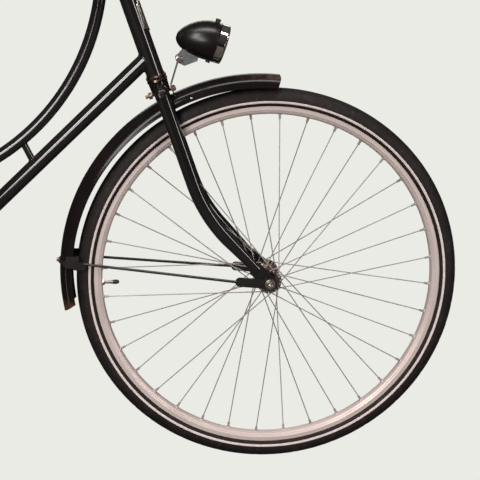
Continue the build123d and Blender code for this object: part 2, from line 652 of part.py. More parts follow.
# Mudguards
def guard_section(radius):
    """Half-round sheet section, (across, out), with a rolled bead along each edge."""
    depth = GUARD_DEPTH
    half = sqrt(GUARD_SECTION ** 2 - (GUARD_SECTION - depth) ** 2)
    inner = GUARD_SECTION - GUARD_SHEET
    inner_half = sqrt(inner ** 2 - (GUARD_SECTION - depth) ** 2)
    outer_arc = ThreePointArc((-half, radius - depth), (0, radius), (half, radius - depth))
    inner_arc = ThreePointArc((-inner_half, radius - depth), (0, radius - GUARD_SHEET),
                              (inner_half, radius - depth))
    right = Line((half, radius - depth), (inner_half, radius - depth))
    left = Line((-half, radius - depth), (-inner_half, radius - depth))
    bead_y = (half + inner_half) / 2
    sheet = make_face(Wire([outer_arc, right, inner_arc, left]))
    beads = [Pos(side * bead_y, radius - depth) * RegularPolygon(BEAD_DIA / 2, 8) for side in (1, -1)]
    return sheet + beads[0] + beads[1]


def guard(centre, radius, start, end):
    """A mudguard: its section carried round an arc, from start to end in degrees."""
    a = radians(start)
    outwards = Vector(cos(a), 0, sin(a))
    plane = Plane(origin=centre, x_dir=LATERAL, z_dir=LATERAL.cross(outwards))
    return revolve(plane * guard_section(radius), Axis(centre, LATERAL), -(end - start))


def front_guard_centre():
    return FRONT + Vector(-FRONT_GUARD_BACK, 0, FRONT_GUARD_UP)


def guard_room(gap):
    """The space under the crown that the front mudguard takes, with a gap over it."""
    half = GUARD_SECTION + gap
    centre = front_guard_centre()
    return tube(centre - LATERAL * half, centre + LATERAL * half, 2 * (FRONT_GUARD_RADIUS + gap))


def front_mudguard():
    """Front mudguard: nose cut back with a rounded ridge, tail cut so that the ridge ends lowest."""
    centre = front_guard_centre()
    body = guard(centre, FRONT_GUARD_RADIUS, FRONT_GUARD_FROM, FRONT_GUARD_TO)
    plane = Plane(origin=FRONT + LATERAL * 50, x_dir=Vector(1, 0, 0), z_dir=Vector(0, -1, 0))
    top = FRONT_GUARD_RADIUS + FRONT_GUARD_UP + 3.0
    outline = [(-140, top - 80), (-140, top + 20), (15.8, top), (1.0, top - 44), (0, top - 80)]
    keep = make_face(Polyline(*outline, close=True))
    keep = fillet(keep.vertices().sort_by(Axis.X)[-1], 11.0)
    ahead = Pos(0, top - 30) * Rectangle(100, 90) - keep
    body = body - extrude(plane * ahead, 100)
    skirt = FRONT_GUARD_RADIUS - GUARD_DEPTH - BEAD_DIA
    ends = [(FRONT_GUARD_RADIUS + 2, FRONT_GUARD_TO), (skirt, FRONT_GUARD_TO - 2.4), (skirt, FRONT_GUARD_TO + 4),
            (FRONT_GUARD_RADIUS + 2, FRONT_GUARD_TO + 4)]
    corners = [polar(centre, radius, angle) - FRONT for radius, angle in ends]
    tail = make_face(Polyline(*[(c.X, c.Z) for c in corners], close=True))
    return body - extrude(plane * tail, 100)


def rear_mudguard():
    return guard(REAR, REAR_GUARD_RADIUS, REAR_GUARD_FROM, REAR_GUARD_TO)


def guard_side():
    """How far a mudguard's edge stands from the middle, beads included."""
    return sqrt(GUARD_SECTION ** 2 - (GUARD_SECTION - GUARD_DEPTH) ** 2) + BEAD_DIA / 2


STAY_BLOCK_ANGLE = 177.3   # where the strap crosses the ridge
STAY_BLOCK_WIDE = 24.0
STAY_BLOCK_TALL = 22.0
STAY_PLATE = 3.0


def front_guard_stays():
    """Wire stays from plates on the mudguard's edges to flat eyes under the axle nuts."""
    centre = front_guard_centre()
    near = guard_side() + FIT
    middle = near + STAY_PLATE / 2
    edge = polar(centre, FRONT_GUARD_RADIUS - GUARD_DEPTH - 1, STAY_BLOCK_ANGLE)
    block = Plane(origin=Vector(edge.X, near + STAY_PLATE, edge.Z + 3.5), x_dir=Vector(1, 0, 0),
                  z_dir=Vector(0, -1, 0))
    start = Vector(edge.X + 21, middle, edge.Z + 0.5)
    outline = Rectangle(STAY_BLOCK_WIDE, STAY_BLOCK_TALL) + Pos(12, -7) * SlotOverall(26, 15)
    body = extrude(block * outline, STAY_PLATE)
    eye_y = FRONT_OLD / 2 + END_THICK + FIT / 2
    joint = FRONT + Vector(-60, eye_y + 1.5, 4)
    eye_outline = Pos(-28, 2) * Rot(0, 0, -4) * SlotCenterToCenter(54, 17) + Circle(12.5)
    eye = extrude(Plane(origin=FRONT + LATERAL * (eye_y + STAY_PLATE), x_dir=Vector(1, 0, 0),
                        z_dir=Vector(0, -1, 0)) * eye_outline, STAY_PLATE)
    eye = eye - tube(FRONT, FRONT + LATERAL * 80, AXLE_DIA + 0.2)
    nib = polar(centre, FRONT_GUARD_RADIUS - 10, STAY_BLOCK_ANGLE)
    inner = 25.9
    clip = Pos(nib.X, (inner + middle) / 2, nib.Z) * Box(8, middle - inner, 9)
    half = tube(start, joint, GUARD_STAY_DIA) + body + eye + clip
    return half + mirrored(half) + stay_strap(centre)


def stay_strap(centre):
    """The narrow strap across the mudguard's outside that carries both plates."""
    low = STAY_BLOCK_ANGLE - STRAP_SPAN / 2
    a = radians(low)
    outwards = Vector(cos(a), 0, sin(a))
    plane = Plane(origin=centre, x_dir=LATERAL, z_dir=LATERAL.cross(outwards))
    r = GUARD_SECTION
    top = FRONT_GUARD_RADIUS
    foot = top - GUARD_DEPTH + BEAD_DIA / 2 + 2.0
    outer = Pos(0, top - r) * Circle(r + FIT + STRAP_THICK) - Pos(0, top - r) * Circle(r + FIT)
    keep = Pos(0, (foot + top + 4) / 2) * Rectangle(80, top + 4 - foot)
    return revolve(plane * (outer & keep), Axis(centre, LATERAL), -STRAP_SPAN)


STRAP_SPAN = 1.3       # degrees about the mudguard's centre


def rear_guard_stays():
    """Two pairs of wire stays from the rear mudguard to the eyes above the axle."""
    side = guard_side() + GUARD_STAY_DIA / 2 + FIT
    eye_y = DROPOUT_Y + DROPOUT_THICK + FIT / 2
    joint = EYE_AT + LATERAL * (eye_y + 1.5)
    half = tube(EYE_AT + LATERAL * eye_y, EYE_AT + LATERAL * (eye_y + 2.6), 14)
    for angle in (128.0, 172.0):
        start = polar(REAR, REAR_GUARD_RADIUS - GUARD_DEPTH + 8, angle, side)
        half = half + tube(start, joint, GUARD_STAY_DIA) + tube(start - LATERAL * 2.6, start + LATERAL * 3, 11)
    half = half - tube(EYE_AT, EYE_AT + LATERAL * 90, EYE_BOLT + FIT)
    clear = half - tube(EYE_AT, EYE_AT + LATERAL * eye_y, 40)
    return both(largest(clear - tube(EYE_AT + LATERAL * (eye_y + 2.6), EYE_AT + LATERAL * 90, 30)))


# Drive
def crank_spindle():
    reach = CRANK_INNER + CRANK_THICK + 3
    return tube(BB - LATERAL * reach, BB + LATERAL * reach, SPINDLE_DIA)


def crank_arm(side):
    """A forged arm: round boss, waisted shank and a pedal eye; side is 1 left, -1 right."""
    end = BB + Vector(side * -CRANK_LENGTH, 0, 0)
    inner = CRANK_INNER
    way = Vector(side * -1, 0, 0)
    boss = Plane(origin=BB + LATERAL * inner, z_dir=LATERAL)
    flat = Plane(origin=BB + LATERAL * inner, x_dir=way, z_dir=LATERAL)
    shank = extrude(flat * make_face(Polyline((0, 15), (CRANK_LENGTH, 10.5), (CRANK_LENGTH, -10.5), (0, -15),
                                              close=True)), CRANK_THICK)
    body = (shank + extrude(boss * Circle(18), CRANK_THICK)
            + extrude(Plane(origin=end + LATERAL * inner, z_dir=LATERAL) * Circle(12.5), CRANK_THICK))
    groove = flat * Pos(CRANK_LENGTH / 2, 0) * SlotCenterToCenter(CRANK_LENGTH * 0.6, 9)
    groove_cut = extrude(groove.moved(Location(LATERAL * (CRANK_THICK - 2))), 4)
    body = body - groove_cut
    body = body - tube(BB, BB + LATERAL * 120, SPINDLE_DIA + 2 * CAP_FIT)
    pin = tube(end + LATERAL * (inner + CRANK_THICK - 0.01), end + LATERAL * (inner + CRANK_THICK + 8),
               PEDAL_AXLE_DIA + 5)
    shaft = tube(end + LATERAL * (inner + 2), end + LATERAL * PEDAL_END, PEDAL_AXLE_DIA)
    body = body + pin + shaft
    body = body if side > 0 else mirrored(body)
    return body.rotate(Axis(BB, LATERAL), CRANK_TILT)


PEDAL_START = CRANK_INNER + CRANK_THICK + 10.0
PEDAL_END = PEDAL_START + PEDAL_LENGTH - 8.0


def pedal_axle(side):
    """Where the pedal's axle meets the arm, by the arms' tilt."""
    tilt = radians(CRANK_TILT)
    return BB + Vector(-cos(tilt), 0, sin(tilt)) * CRANK_LENGTH * side


def pedal_frame(side):
    """Barrel with an end plate at each end, bored for the pedal's axle."""
    at = pedal_axle(side)
    body = tube(at + LATERAL * PEDAL_START, at + LATERAL * (PEDAL_START + PEDAL_LENGTH), 20)
    for y in (PEDAL_START, PEDAL_START + PEDAL_LENGTH - 4):
        end = Plane(origin=at + LATERAL * y, x_dir=Vector(1, 0, 0), z_dir=LATERAL)
        body = body + extrude(end * RectangleRounded(PEDAL_WIDTH, PEDAL_THICK * 0.7, 8), 4)
    body = body - tube(at, at + LATERAL * (PEDAL_END + 1), PEDAL_AXLE_DIA + 2 * PIN_FIT)
    return body if side > 0 else mirrored(body)


def pedal_rubbers(side):
    """Two ribbed rubber blocks, fore and aft of the barrel."""
    at = pedal_axle(side)
    length = PEDAL_LENGTH - 8 - 2 * FIT
    width = (PEDAL_WIDTH - 20) / 2 - 4
    blocks = []
    for hand in (1, -1):
        mid = at + LATERAL * (PEDAL_START + 4 + FIT)
        base = Plane(origin=mid, x_dir=Vector(1, 0, 0), z_dir=LATERAL)
        x = hand * (10 + FIT + 1 + width / 2)
        block = extrude(base * Pos(x, 0) * RectangleRounded(width, PEDAL_THICK, 5), length)
        for n in range(4):
            y = mid.Y + length * (n + 1) / 5
            for up in (1, -1):
                cut = Pos(at.X + x, y, at.Z + up * PEDAL_THICK / 2) * Box(width + 4, 3, 3)
                block = block - cut
        blocks.append(block)
    return Compound(children=[block if side > 0 else mirrored(block) for block in blocks])


def case_outline(front, rear, grow=0.0):
    """Side outline of the chain case: two round ends joined by tangents."""
    axis = Vector(REAR.X - BB.X, REAR.Z - BB.Z)
    distance = axis.length
    tilt = degrees(atan2(axis.Y, axis.X))
    big = front + grow
    small = rear + grow
    lean = degrees(acos((big - small) / distance))
    points = [(big * cos(radians(lean)), big * sin(radians(lean))),
              (distance + small * cos(radians(lean)), small * sin(radians(lean))),
              (distance + small * cos(radians(lean)), -small * sin(radians(lean))),
              (big * cos(radians(lean)), -big * sin(radians(lean)))]
    body = make_face(Polyline(*points, close=True)) + Circle(big) + Pos(distance, 0) * Circle(small)
    return Rot(0, 0, tilt) * body


def chain_case():
    """Closed case round the whole chain drive, hollow, with a rounded rim and a stepped face."""
    flat = Plane(origin=BB - LATERAL * CASE_INNER, x_dir=Vector(1, 0, 0), z_dir=Vector(0, -1, 0))
    deep = CASE_OUTER - CASE_INNER
    outside = extrude(flat * case_outline(CASE_FRONT, CASE_REAR), deep - CASE_STEP)
    step = Plane(origin=flat.origin - LATERAL * (deep - CASE_STEP), x_dir=Vector(1, 0, 0), z_dir=Vector(0, -1, 0))
    outside = outside + extrude(step * case_outline(CASE_FRONT - 6, CASE_REAR - 6), CASE_STEP, taper=20)
    well = Plane(origin=flat.origin - LATERAL * CASE_WALL, x_dir=Vector(1, 0, 0), z_dir=Vector(0, -1, 0))
    inside = extrude(well * case_outline(CASE_FRONT, CASE_REAR, -CASE_WALL - 6), deep - 2 * CASE_WALL - 2)
    body = outside - inside
    body = body - tube(BB, BB - LATERAL * 2 * CASE_OUTER, SPINDLE_DIA + 11)
    body = body - tube(REAR, REAR - LATERAL * 2 * CASE_OUTER, 42.0)
    room = 1.2
    points = [stay_point(back, -side) for back, side in CHAIN_STAY_LINE]
    body = body - rod(points, STAY_DIA + room, STAY_BEND)
    low, knee = seat_stay_points(-1)[:2]
    body = body - tube(low - (knee - low).normalized() * 4, knee, SEAT_STAY_DIA + room)
    slot = Pos(REAR.X, -(DROPOUT_Y + DROPOUT_THICK / 2), REAR.Z + EYE_UP / 2) * Box(
        15 + room, DROPOUT_THICK + room, EYE_UP + 20)
    return largest(body - slot)


# Saddle
def seat_post():
    low = SEAT_TOP - 80
    return tube(seat(low), seat(SEAT_TOP + POST_SHOWN), POST_DIA)


POST_TOP = SEAT_TOP + POST_SHOWN
SADDLE_BASE = BB + SEAT_UP * POST_TOP


def saddle_clamp():
    """The clamp that grips the rails on the post's head."""
    top = SADDLE_BASE
    body = tube(top - SEAT_UP * 26, top + SEAT_UP * 2, POST_DIA + 9) - tube(
        top - SEAT_UP * 40, top + SEAT_UP * 10, POST_DIA + 2 * CAP_FIT)
    cheek = tube(top + Vector(0, -30, 4), top + Vector(0, 30, 4), 20)
    cheek = cheek - tube(top - SEAT_UP * 40, top + SEAT_UP * 30, POST_DIA + 2 * CAP_FIT)
    return body + cheek


def saddle_rails():
    """Two wire rails from the nose, through the clamp, to the springs' yoke."""
    y = 34.0
    base = SADDLE_BASE
    points = [base + Vector(118, 16, 34), base + Vector(84, y, 6), base + Vector(-60, y, 4),
              base + Vector(-84, 62, 2)]
    one = rod(points, 7.0, 14.0)
    yoke = tube(base + Vector(-84, -76, 2), base + Vector(-84, 76, 2), 9)
    tip = tube(base + Vector(118, -20, 34), base + Vector(118, 20, 34), 9)
    return one + mirrored(one) + yoke + tip


def saddle_springs():
    """Two coil springs between the yoke and the back of the saddle's plate."""
    base = SADDLE_BASE + Vector(-84, 58, 2 + 4.5 + FIT)
    rows = [(0, 0), (0, SPRING_DIA / 2)]
    turns = 5
    pitch = SPRING_HEIGHT / turns
    for n in range(turns):
        rows += [(pitch * (n + 0.5), SPRING_DIA / 2 - 2.5), (pitch * (n + 1), SPRING_DIA / 2)]
    rows += [(SPRING_HEIGHT, 0)]
    spring = turned(rows, base, Vector(0, 0, 1))
    return both(spring)


def saddle_plate():
    """Steel pan under the cover, from the nose to the springs."""
    z = SADDLE_BASE.Z + 2 + 4.5 + FIT + SPRING_HEIGHT + FIT
    base = Plane(origin=Vector(SADDLE_BASE.X, 0, z))
    outline = make_face(Polyline((150, 16), (40, 24), (-60, 84), (-112, 80), (-112, -80), (-60, -84),
                                 (40, -24), (150, -16), close=True))
    body = extrude(base * outline, 3.0)
    strut = tube(SADDLE_BASE + Vector(118, 0, 34 + 4.5), Vector(SADDLE_BASE.X + 118, 0, z), 12)
    return body + strut


def saddle_cover():
    """Wide sprung saddle: a broad tail drawn to a narrow nose, crowned."""
    z = SADDLE_BASE.Z + 2 + 4.5 + 2 * FIT + SPRING_HEIGHT + 3.0 + FIT
    half = SADDLE_WIDTH / 2
    top = SADDLE_THICK
    # Stations: ahead of the post, half width, height of the crown
    stations = [(-126, half * 0.80, top * 0.80), (-84, half, top), (-20, half * 0.72, top * 0.86),
                (50, half * 0.31, top * 0.78), (SADDLE_LENGTH - 128, half * 0.20, top * 0.72)]
    faces = []
    for x, w, h in stations:
        base = Plane(origin=Vector(SADDLE_BASE.X + x, 0, z), x_dir=LATERAL, z_dir=Vector(1, 0, 0))
        curve = Spline((w, 0), (w * 0.82, h * 0.62), (0, h), (-w * 0.82, h * 0.62), (-w, 0))
        faces.append(base * make_face(Wire([curve, Line((-w, 0), (w, 0))])))
    return loft(faces)


# Cockpit
STEM_TOP = CUP_TOP + RACE_GAP + NUT_HEIGHT + STEM_RISE
BAR_CENTRE = steer(STEM_TOP, STEM_REACH)


def stem():
    """Quill stem: quill in the steerer, forward neck and the bar's clamp."""
    quill = tube(steer(CROWN_TOP + HEAD_STACK - 60), steer(STEM_TOP), STEERER_BORE - 2 * CAP_FIT)
    cap = Solid.make_sphere(STEERER_BORE / 2 + 2.4, Plane(origin=steer(STEM_TOP)))
    neck = Solid.make_cone(13, 12, STEM_REACH, Plane(origin=steer(STEM_TOP), z_dir=HEAD_FORE))
    clamp = tube(BAR_CENTRE - LATERAL * 21, BAR_CENTRE + LATERAL * 21, CLAMP_DIA + 9)
    body = quill + cap + neck + clamp
    return body - tube(BAR_CENTRE - LATERAL * 60, BAR_CENTRE + LATERAL * 60, CLAMP_DIA + FIT)


GRIP_Y = BAR_WIDTH / 2 - GRIP_DIA / 2
GRIP_DROP = 0.10
BAR_BENDS = [30.0, 60.0, 60.0]
# The bar's bends: ahead of the clamp, to the side, up
BAR_LINE = [(0, 0, 0), (0, 62, 0), (46, 150, 58), (-30, GRIP_Y - 8, 72)]


def bar_points():
    points = [BAR_CENTRE + Vector(*row) for row in BAR_LINE]
    end = Vector(BAR_CENTRE.X - 212, GRIP_Y, BAR_CENTRE.Z + 72 - 212 * GRIP_DROP)
    knee = points[-1]
    return points[:-1] + [Vector(knee.X, GRIP_Y, knee.Z), end]


def handlebar():
    """Swept-back bar: a thicker middle, rising sides and grips that point at the rider."""
    points = bar_points()
    half = rod(points, BAR_DIA, BAR_BENDS)
    middle = tube(BAR_CENTRE - LATERAL * 36, BAR_CENTRE + LATERAL * 36, CLAMP_DIA)
    return half + mirrored(half) + middle


def grips():
    points = bar_points()
    way = (points[-1] - points[-2]).normalized()
    end = points[-1] + way * 4
    start = end - way * GRIP_LENGTH
    r = GRIP_DIA / 2
    rows = [(0, 0), (0, r), (5, r), (9, r - 2.2), (GRIP_LENGTH * 0.55, r - 1.2), (GRIP_LENGTH - 12, r - 2.2),
            (GRIP_LENGTH - 6, r - 0.5), (GRIP_LENGTH, r - 3), (GRIP_LENGTH, 0)]
    body = turned(rows, start, way)
    body = body - tube(start - way, end - way * (4 - FIT), BAR_DIA + FIT)
    return both(body)


def bell():
    """Round bell on the right of the bar: a strap round the bar, a post and the dome."""
    knee, shoulder = Vector(*BAR_LINE[1]), Vector(*BAR_LINE[2])
    middle = BAR_CENTRE + (knee + (shoulder - knee) * 0.30)
    along = (shoulder - knee).normalized()
    strap = (Solid.make_cylinder(BAR_DIA / 2 + 3, 12, Plane(origin=middle - along * 6, z_dir=along))
             - Solid.make_cylinder(BAR_DIA / 2 + FIT, 40, Plane(origin=middle - along * 20, z_dir=along)))
    up = along.cross(Vector(1, 0, 0)).normalized()
    up = up if up.Z > 0 else up * -1
    base = middle + up * (BAR_DIA / 2 + 2)
    post = tube(base, base + up * 8, 9)
    rows = [(6, 0), (6, 22), (10, 27), (14, 27.5), (22, 24), (28, 15), (31, 0)]
    body = strap + post + turned(rows, base, up)
    return mirrored(body)


# Lamp
LAMP_FRONT = FRONT + Vector(-LAMP_AHEAD, 0, LAMP_UP)
LAMP_AIM = Vector(cos(radians(LAMP_TILT)), 0, -sin(radians(LAMP_TILT)))


def lamp_bullet(grow=0.0):
    """The shell: a round body at the ring, drawn back to a nose that droops."""
    r = LAMP_DIA / 2
    length = LAMP_RING + LAMP_SHELL
    up = Vector(sin(radians(LAMP_TILT)), 0, cos(radians(LAMP_TILT)))
    # Stations: share of the way from ring to nose, radius and droop as shares of their largest
    stations = [(0.0, 0.975, 0.0), (0.2, 1.0, 0.03), (0.45, 0.93, 0.2), (0.68, 0.76, 0.48), (0.86, 0.52, 0.76),
                (0.955, 0.30, 0.92), (0.995, 0.11, 1.0)]
    faces = []
    for share, wide, droop in stations:
        back = LAMP_RING + FIT + (length - LAMP_RING - FIT + grow) * share
        at = LAMP_FRONT - LAMP_AIM * back - up * LAMP_DROOP * droop
        faces.append(Plane(origin=at, x_dir=LATERAL, z_dir=LAMP_AIM * -1) * Circle(r * wide + grow))
    return loft(faces)


def lamp_shell():
    """Bullet shell with a push switch on top and a latch below."""
    r = LAMP_DIA / 2
    up = Vector(sin(radians(LAMP_TILT)), 0, cos(radians(LAMP_TILT)))
    switch = LAMP_FRONT - LAMP_AIM * (LAMP_RING + 9)
    latch = LAMP_FRONT - LAMP_AIM * (LAMP_RING + 5)
    return lamp_bullet() + tube(switch, switch + up * (r + 3.6), 9) + tube(latch, latch - up * (r + 3.4), 8)


def lamp_ring():
    """Chrome ring with a rolled front edge, open for the lens."""
    r = LAMP_DIA / 2
    rows = [(-LAMP_RING, 0), (-LAMP_RING, r), (-4, r), (-1, r - 1.2), (0, r - 3), (0, r - 5), (-2, r - 5),
            (-2, 0)]
    body = turned(rows, LAMP_FRONT, LAMP_AIM)
    return body - tube(LAMP_FRONT - LAMP_AIM * 8, LAMP_FRONT + LAMP_AIM, LAMP_DIA - 10)


def lamp_lens():
    r = LAMP_DIA / 2 - 5 - FIT
    rows = [(-8 + FIT, 0), (-8 + FIT, r), (-3, r), (1.5, r * 0.6), (2.6, 0)]
    return turned(rows, LAMP_FRONT, LAMP_AIM)


LAMP_BOLT = FRONT + Vector(-170.0, 0, CROWN_TOP - 7.0)
STRAP_WIDE = 16.0
STRAP_FORE = 20.0      # the strap's middle ahead of the steering axis


def lamp_bracket():
    """Bent strap: its foot under the nut on the crown, then up and forward to an eye under the lamp."""
    foot = steer(BOLT_UP - 7, STRAP_FORE)
    knee = steer(BOLT_UP + 7, STRAP_FORE)
    path = FilletPolyline(foot, knee, LAMP_BOLT, radius=5.0)
    section = Plane(origin=path @ 0, x_dir=LATERAL, z_dir=path % 0) * Rectangle(STRAP_WIDE, STRAP_THICK)
    strap = sweep(section, path=path)
    eye = tube(LAMP_BOLT - LATERAL * STRAP_WIDE / 2, LAMP_BOLT + LATERAL * STRAP_WIDE / 2, LAMP_BOLT_DIA + 5)
    body = strap + eye - tube(LAMP_BOLT - LATERAL * 20, LAMP_BOLT + LATERAL * 20, LAMP_BOLT_DIA + 2 * CAP_FIT)
    return body - tube(steer(BOLT_UP, 0), steer(BOLT_UP, 40), BOLT_DIA + FIT)


LAMP_BOLT_DIA = 6.0


def lamp_ear():
    """Folded grey ear that carries the lamp on the bracket's bolt."""
    points = [(-5, 3), (0, 8), (12, 22), (35, 12), (33, -3), (10, -12), (-3, -6)]
    plane = Plane(origin=LAMP_BOLT + LATERAL * 12, x_dir=Vector(1, 0, 0), z_dir=Vector(0, -1, 0))
    cheek = extrude(plane * make_face(Polyline(*points, close=True)), 2)
    bolt = tube(LAMP_BOLT - LATERAL * 16, LAMP_BOLT + LATERAL * 16, LAMP_BOLT_DIA)
    cheek = largest(cheek - lamp_bullet(FIT))
    return cheek + mirrored(cheek) + bolt


# Stand
STAND_PIVOT = Vector(BB.X - STAND_PIVOT_BACK, 0, BB.Z - STAND_PIVOT_DROP)
CHEEK_Y = 5.5
CHEEK_THICK = 5.0


def stand_bracket():
    """Two cheeks hung from the stays' bridge, bored for the stand's pin, with a stop plate."""
    top = stay_point(BRIDGE_BACK, 0)
    outline = make_face(Polyline((-13, -STAND_PIN - 2), (13, -STAND_PIN - 2), (12, top.Z - STAND_PIVOT.Z + 3),
                                 (-9, top.Z - STAND_PIVOT.Z + 3), close=True))
    plane = Plane(origin=STAND_PIVOT + LATERAL * (CHEEK_Y + CHEEK_THICK), x_dir=Vector(1, 0, 0),
                  z_dir=Vector(0, -1, 0))
    cheek = extrude(plane * outline, CHEEK_THICK)
    tie = Pos(STAND_PIVOT.X, 0, top.Z - 20) * Box(18, 2 * CHEEK_Y + 2, 8)
    body = cheek + mirrored(cheek) + tie
    body = body - tube(STAND_PIVOT - LATERAL * 40, STAND_PIVOT + LATERAL * 40, STAND_PIN + 2 * PIN_FIT)
    return body - tube(top - LATERAL * 40, top + LATERAL * 40, BRIDGE_DIA + FIT)


LEG_Y = 19.0
LEG_OUT = 52.0
FOOT_RADIUS = 9.0


def leg_points():
    """The leg's bends, from the pin to the middle of the foot."""
    drop = STAND_PIVOT.Z - FOOT_RADIUS
    # Distance below the pivot, distance to the side
    rows = [(0.0, LEG_Y), (45.0, LEG_Y), (86.0, LEG_OUT), (STAND_PIVOT.Z - 84.0, LEG_OUT),
            (drop, STAND_SPREAD)]
    return [STAND_PIVOT + Vector(STAND_LEAD * down / drop, side, -down) for down, side in rows]


def stand_legs():
    """A pin through the bracket and two legs that step out and then splay to the feet."""
    points = leg_points()
    leg = rod(points, STAND_TUBE, [18.0, 18.0, 30.0])
    pin = tube(STAND_PIVOT - LATERAL * (LEG_Y + 9), STAND_PIVOT + LATERAL * (LEG_Y + 9), STAND_PIN)
    knuckle = tube(STAND_PIVOT + LATERAL * (CHEEK_Y + CHEEK_THICK + 1), STAND_PIVOT + LATERAL * (LEG_Y + 9), 18)
    leg = leg + knuckle
    return leg + mirrored(leg) + pin


def stand_feet():
    """Rounded rubber shoes round the legs' ends, flat on the floor."""
    knee, end = leg_points()[-2:]
    way = (end - knee).normalized()
    shoe = Solid.make_cylinder(13, 19, Plane(origin=Vector(end.X, end.Y, 0)))
    shoe = fillet(shoe.edges().group_by(Axis.Z)[-1], 4)
    return both(largest(shoe - tube(knee, end + way * FIT, STAND_TUBE + FIT)))


# Carrier
def carrier_points():
    z = REAR.Z + REAR_GUARD_RADIUS + CARRIER_GAP + CARRIER_ROD / 2
    front = Vector(REAR.X + CARRIER_LENGTH * 0.50, 0, z)
    back = Vector(front.X - CARRIER_LENGTH, 0, z)
    return front, back


def carrier():
    """Rod platform over the rear wheel, with a leg to each axle end."""
    front, back = carrier_points()
    half = CARRIER_WIDTH / 2
    loop = [front + Vector(0, -half, 0), front + Vector(0, half, 0), back + Vector(0, half, 0),
            back + Vector(0, -half, 0)]
    frame_path = FilletPolyline(*loop, radius=28.0, close=True)
    section = Plane(origin=frame_path @ 0, z_dir=frame_path % 0) * Circle(CARRIER_ROD / 2)
    body = sweep(section, path=frame_path)
    slats = 3
    for n in range(slats):
        y = (n - 1) * half / 2
        body = body + tube(front + Vector(0, y, 0), back + Vector(0, y, 0), CARRIER_ROD * 0.7)
    for share in (0.2, 0.5, 0.8):
        at = front + (back - front) * share
        body = body + tube(at - LATERAL * half, at + LATERAL * half, CARRIER_ROD * 0.8)
    eye_y = DROPOUT_Y + DROPOUT_THICK + 3.2
    low = EYE_AT + LATERAL * (eye_y + CARRIER_ROD / 2)
    for share in (0.5, 0.86):
        top = front + (back - front) * share
        leg = tube(top + LATERAL * half, low, CARRIER_ROD)
        body = body + leg + mirrored(leg)
    eye = tube(EYE_AT + LATERAL * eye_y, EYE_AT + LATERAL * (eye_y + CARRIER_ROD), 15)
    bolt = tube(EYE_AT + LATERAL * (DROPOUT_Y - 3), EYE_AT + LATERAL * (eye_y + CARRIER_ROD), EYE_BOLT)
    head = tube(EYE_AT + LATERAL * (eye_y + CARRIER_ROD), EYE_AT + LATERAL * (eye_y + CARRIER_ROD + 4), 10)
    ends = eye + bolt + head
    return body + ends + mirrored(ends)


def rear_lamp():
    """Round-topped rear lamp hung under the carrier's back end."""
    at = carrier_points()[1] + Vector(-CARRIER_ROD / 2 - FIT, 0, 0)
    plane = Plane(origin=at, x_dir=LATERAL, z_dir=Vector(-1, 0, 0))
    return extrude(plane * RectangleRounded(REAR_LAMP_WIDE, REAR_LAMP_TALL, 12), REAR_LAMP_DEEP)


def head_badge():
    """Blank pointed plate on the front of the head tube."""
    low = HEAD_BOTTOM + 109.6
    outline = make_face(Polyline((0, -34), (13, -16), (14, 26), (0, 34), (-14, 26), (-13, -16), close=True))
    plane = Plane(origin=steer(low, 30), x_dir=LATERAL, z_dir=HEAD_FORE * -1)
    block = extrude(plane * outline, 40)
    skin = tube(steer(low - 60), steer(low + 60), HEAD_DIA + 2 * 1.2, HEAD_DIA + FIT)
    body = block & skin
    return largest(body)


NODES = {
    "front_tyre": tyre(FRONT),
    "front_rim": rim(FRONT),
    "front_spokes": spokes(FRONT, FRONT_FLANGE, FRONT_FLANGE_Y, FRONT_PHASE),
    "front_hub": hub(FRONT, FRONT_FLANGE, FRONT_FLANGE_Y, FRONT_BARREL, FRONT_OLD, FRONT_PHASE),
    "front_valve": valve(FRONT, FRONT_PHASE + 175.0),
    "front_axle": axle(FRONT, FRONT_OLD, END_THICK + 3.5),
    "rear_tyre": tyre(REAR),
    "rear_rim": rim(REAR),
    "rear_spokes": spokes(REAR, REAR_FLANGE, REAR_FLANGE_Y, REAR_PHASE),
    "rear_hub": hub(REAR, REAR_FLANGE, REAR_FLANGE_Y, REAR_BARREL, REAR_OLD, REAR_PHASE),
    "rear_valve": valve(REAR, REAR_PHASE + 235.0),
    "rear_axle": rear_axle(),
    "fork_crown": fork_crown(),
    "fork_blades": fork_blades(),
    "steerer": steerer(),
    "crown_bolt": crown_bolt(),
    "head_locknut": head_locknut(),
    "head_cups": head_cups(),
    "head_tube": head_tube(),
    "head_badge": head_badge(),
    "down_tube": down_tube(),
    "loop_tube": loop_tube(),
    "brace_tube": brace_tube(),
    "seat_tube": seat_tube(),
    "seat_clamp": seat_clamp(),
    "bottom_bracket": bottom_bracket(),
    "chain_stays": chain_stays(),
    "seat_stays": seat_stays(),
    "front_mudguard": front_mudguard(),
    "front_guard_stays": front_guard_stays(),
    "rear_guard_stays": rear_guard_stays(),
    "rear_mudguard": rear_mudguard(),
    "crank_spindle": crank_spindle(),
    "crank_arm_left": crank_arm(1),
    "crank_arm_right": crank_arm(-1),
    "pedal_frame_left": pedal_frame(1),
    "pedal_rubbers_left": pedal_rubbers(1),
    "pedal_frame_right": pedal_frame(-1),
    "pedal_rubbers_right": pedal_rubbers(-1),
    "chain_case": chain_case(),
    "seat_post": seat_post(),
    "saddle_clamp": saddle_clamp(),
    "saddle_rails": saddle_rails(),
    "saddle_springs": saddle_springs(),
    "saddle_plate": saddle_plate(),
    "saddle_cover": saddle_cover(),
    "stem": stem(),
    "handlebar": handlebar(),
    "grips": grips(),
    "bell": bell(),
    "lamp_shell": lamp_shell(),
    "lamp_ring": lamp_ring(),
    "lamp_lens": lamp_lens(),
    "lamp_bracket": lamp_bracket(),
    "lamp_ear": lamp_ear(),
    "stand_bracket": stand_bracket(),
    "stand_legs": stand_legs(),
    "stand_feet": stand_feet(),
    "carrier": carrier(),
    "rear_lamp": rear_lamp(),
}

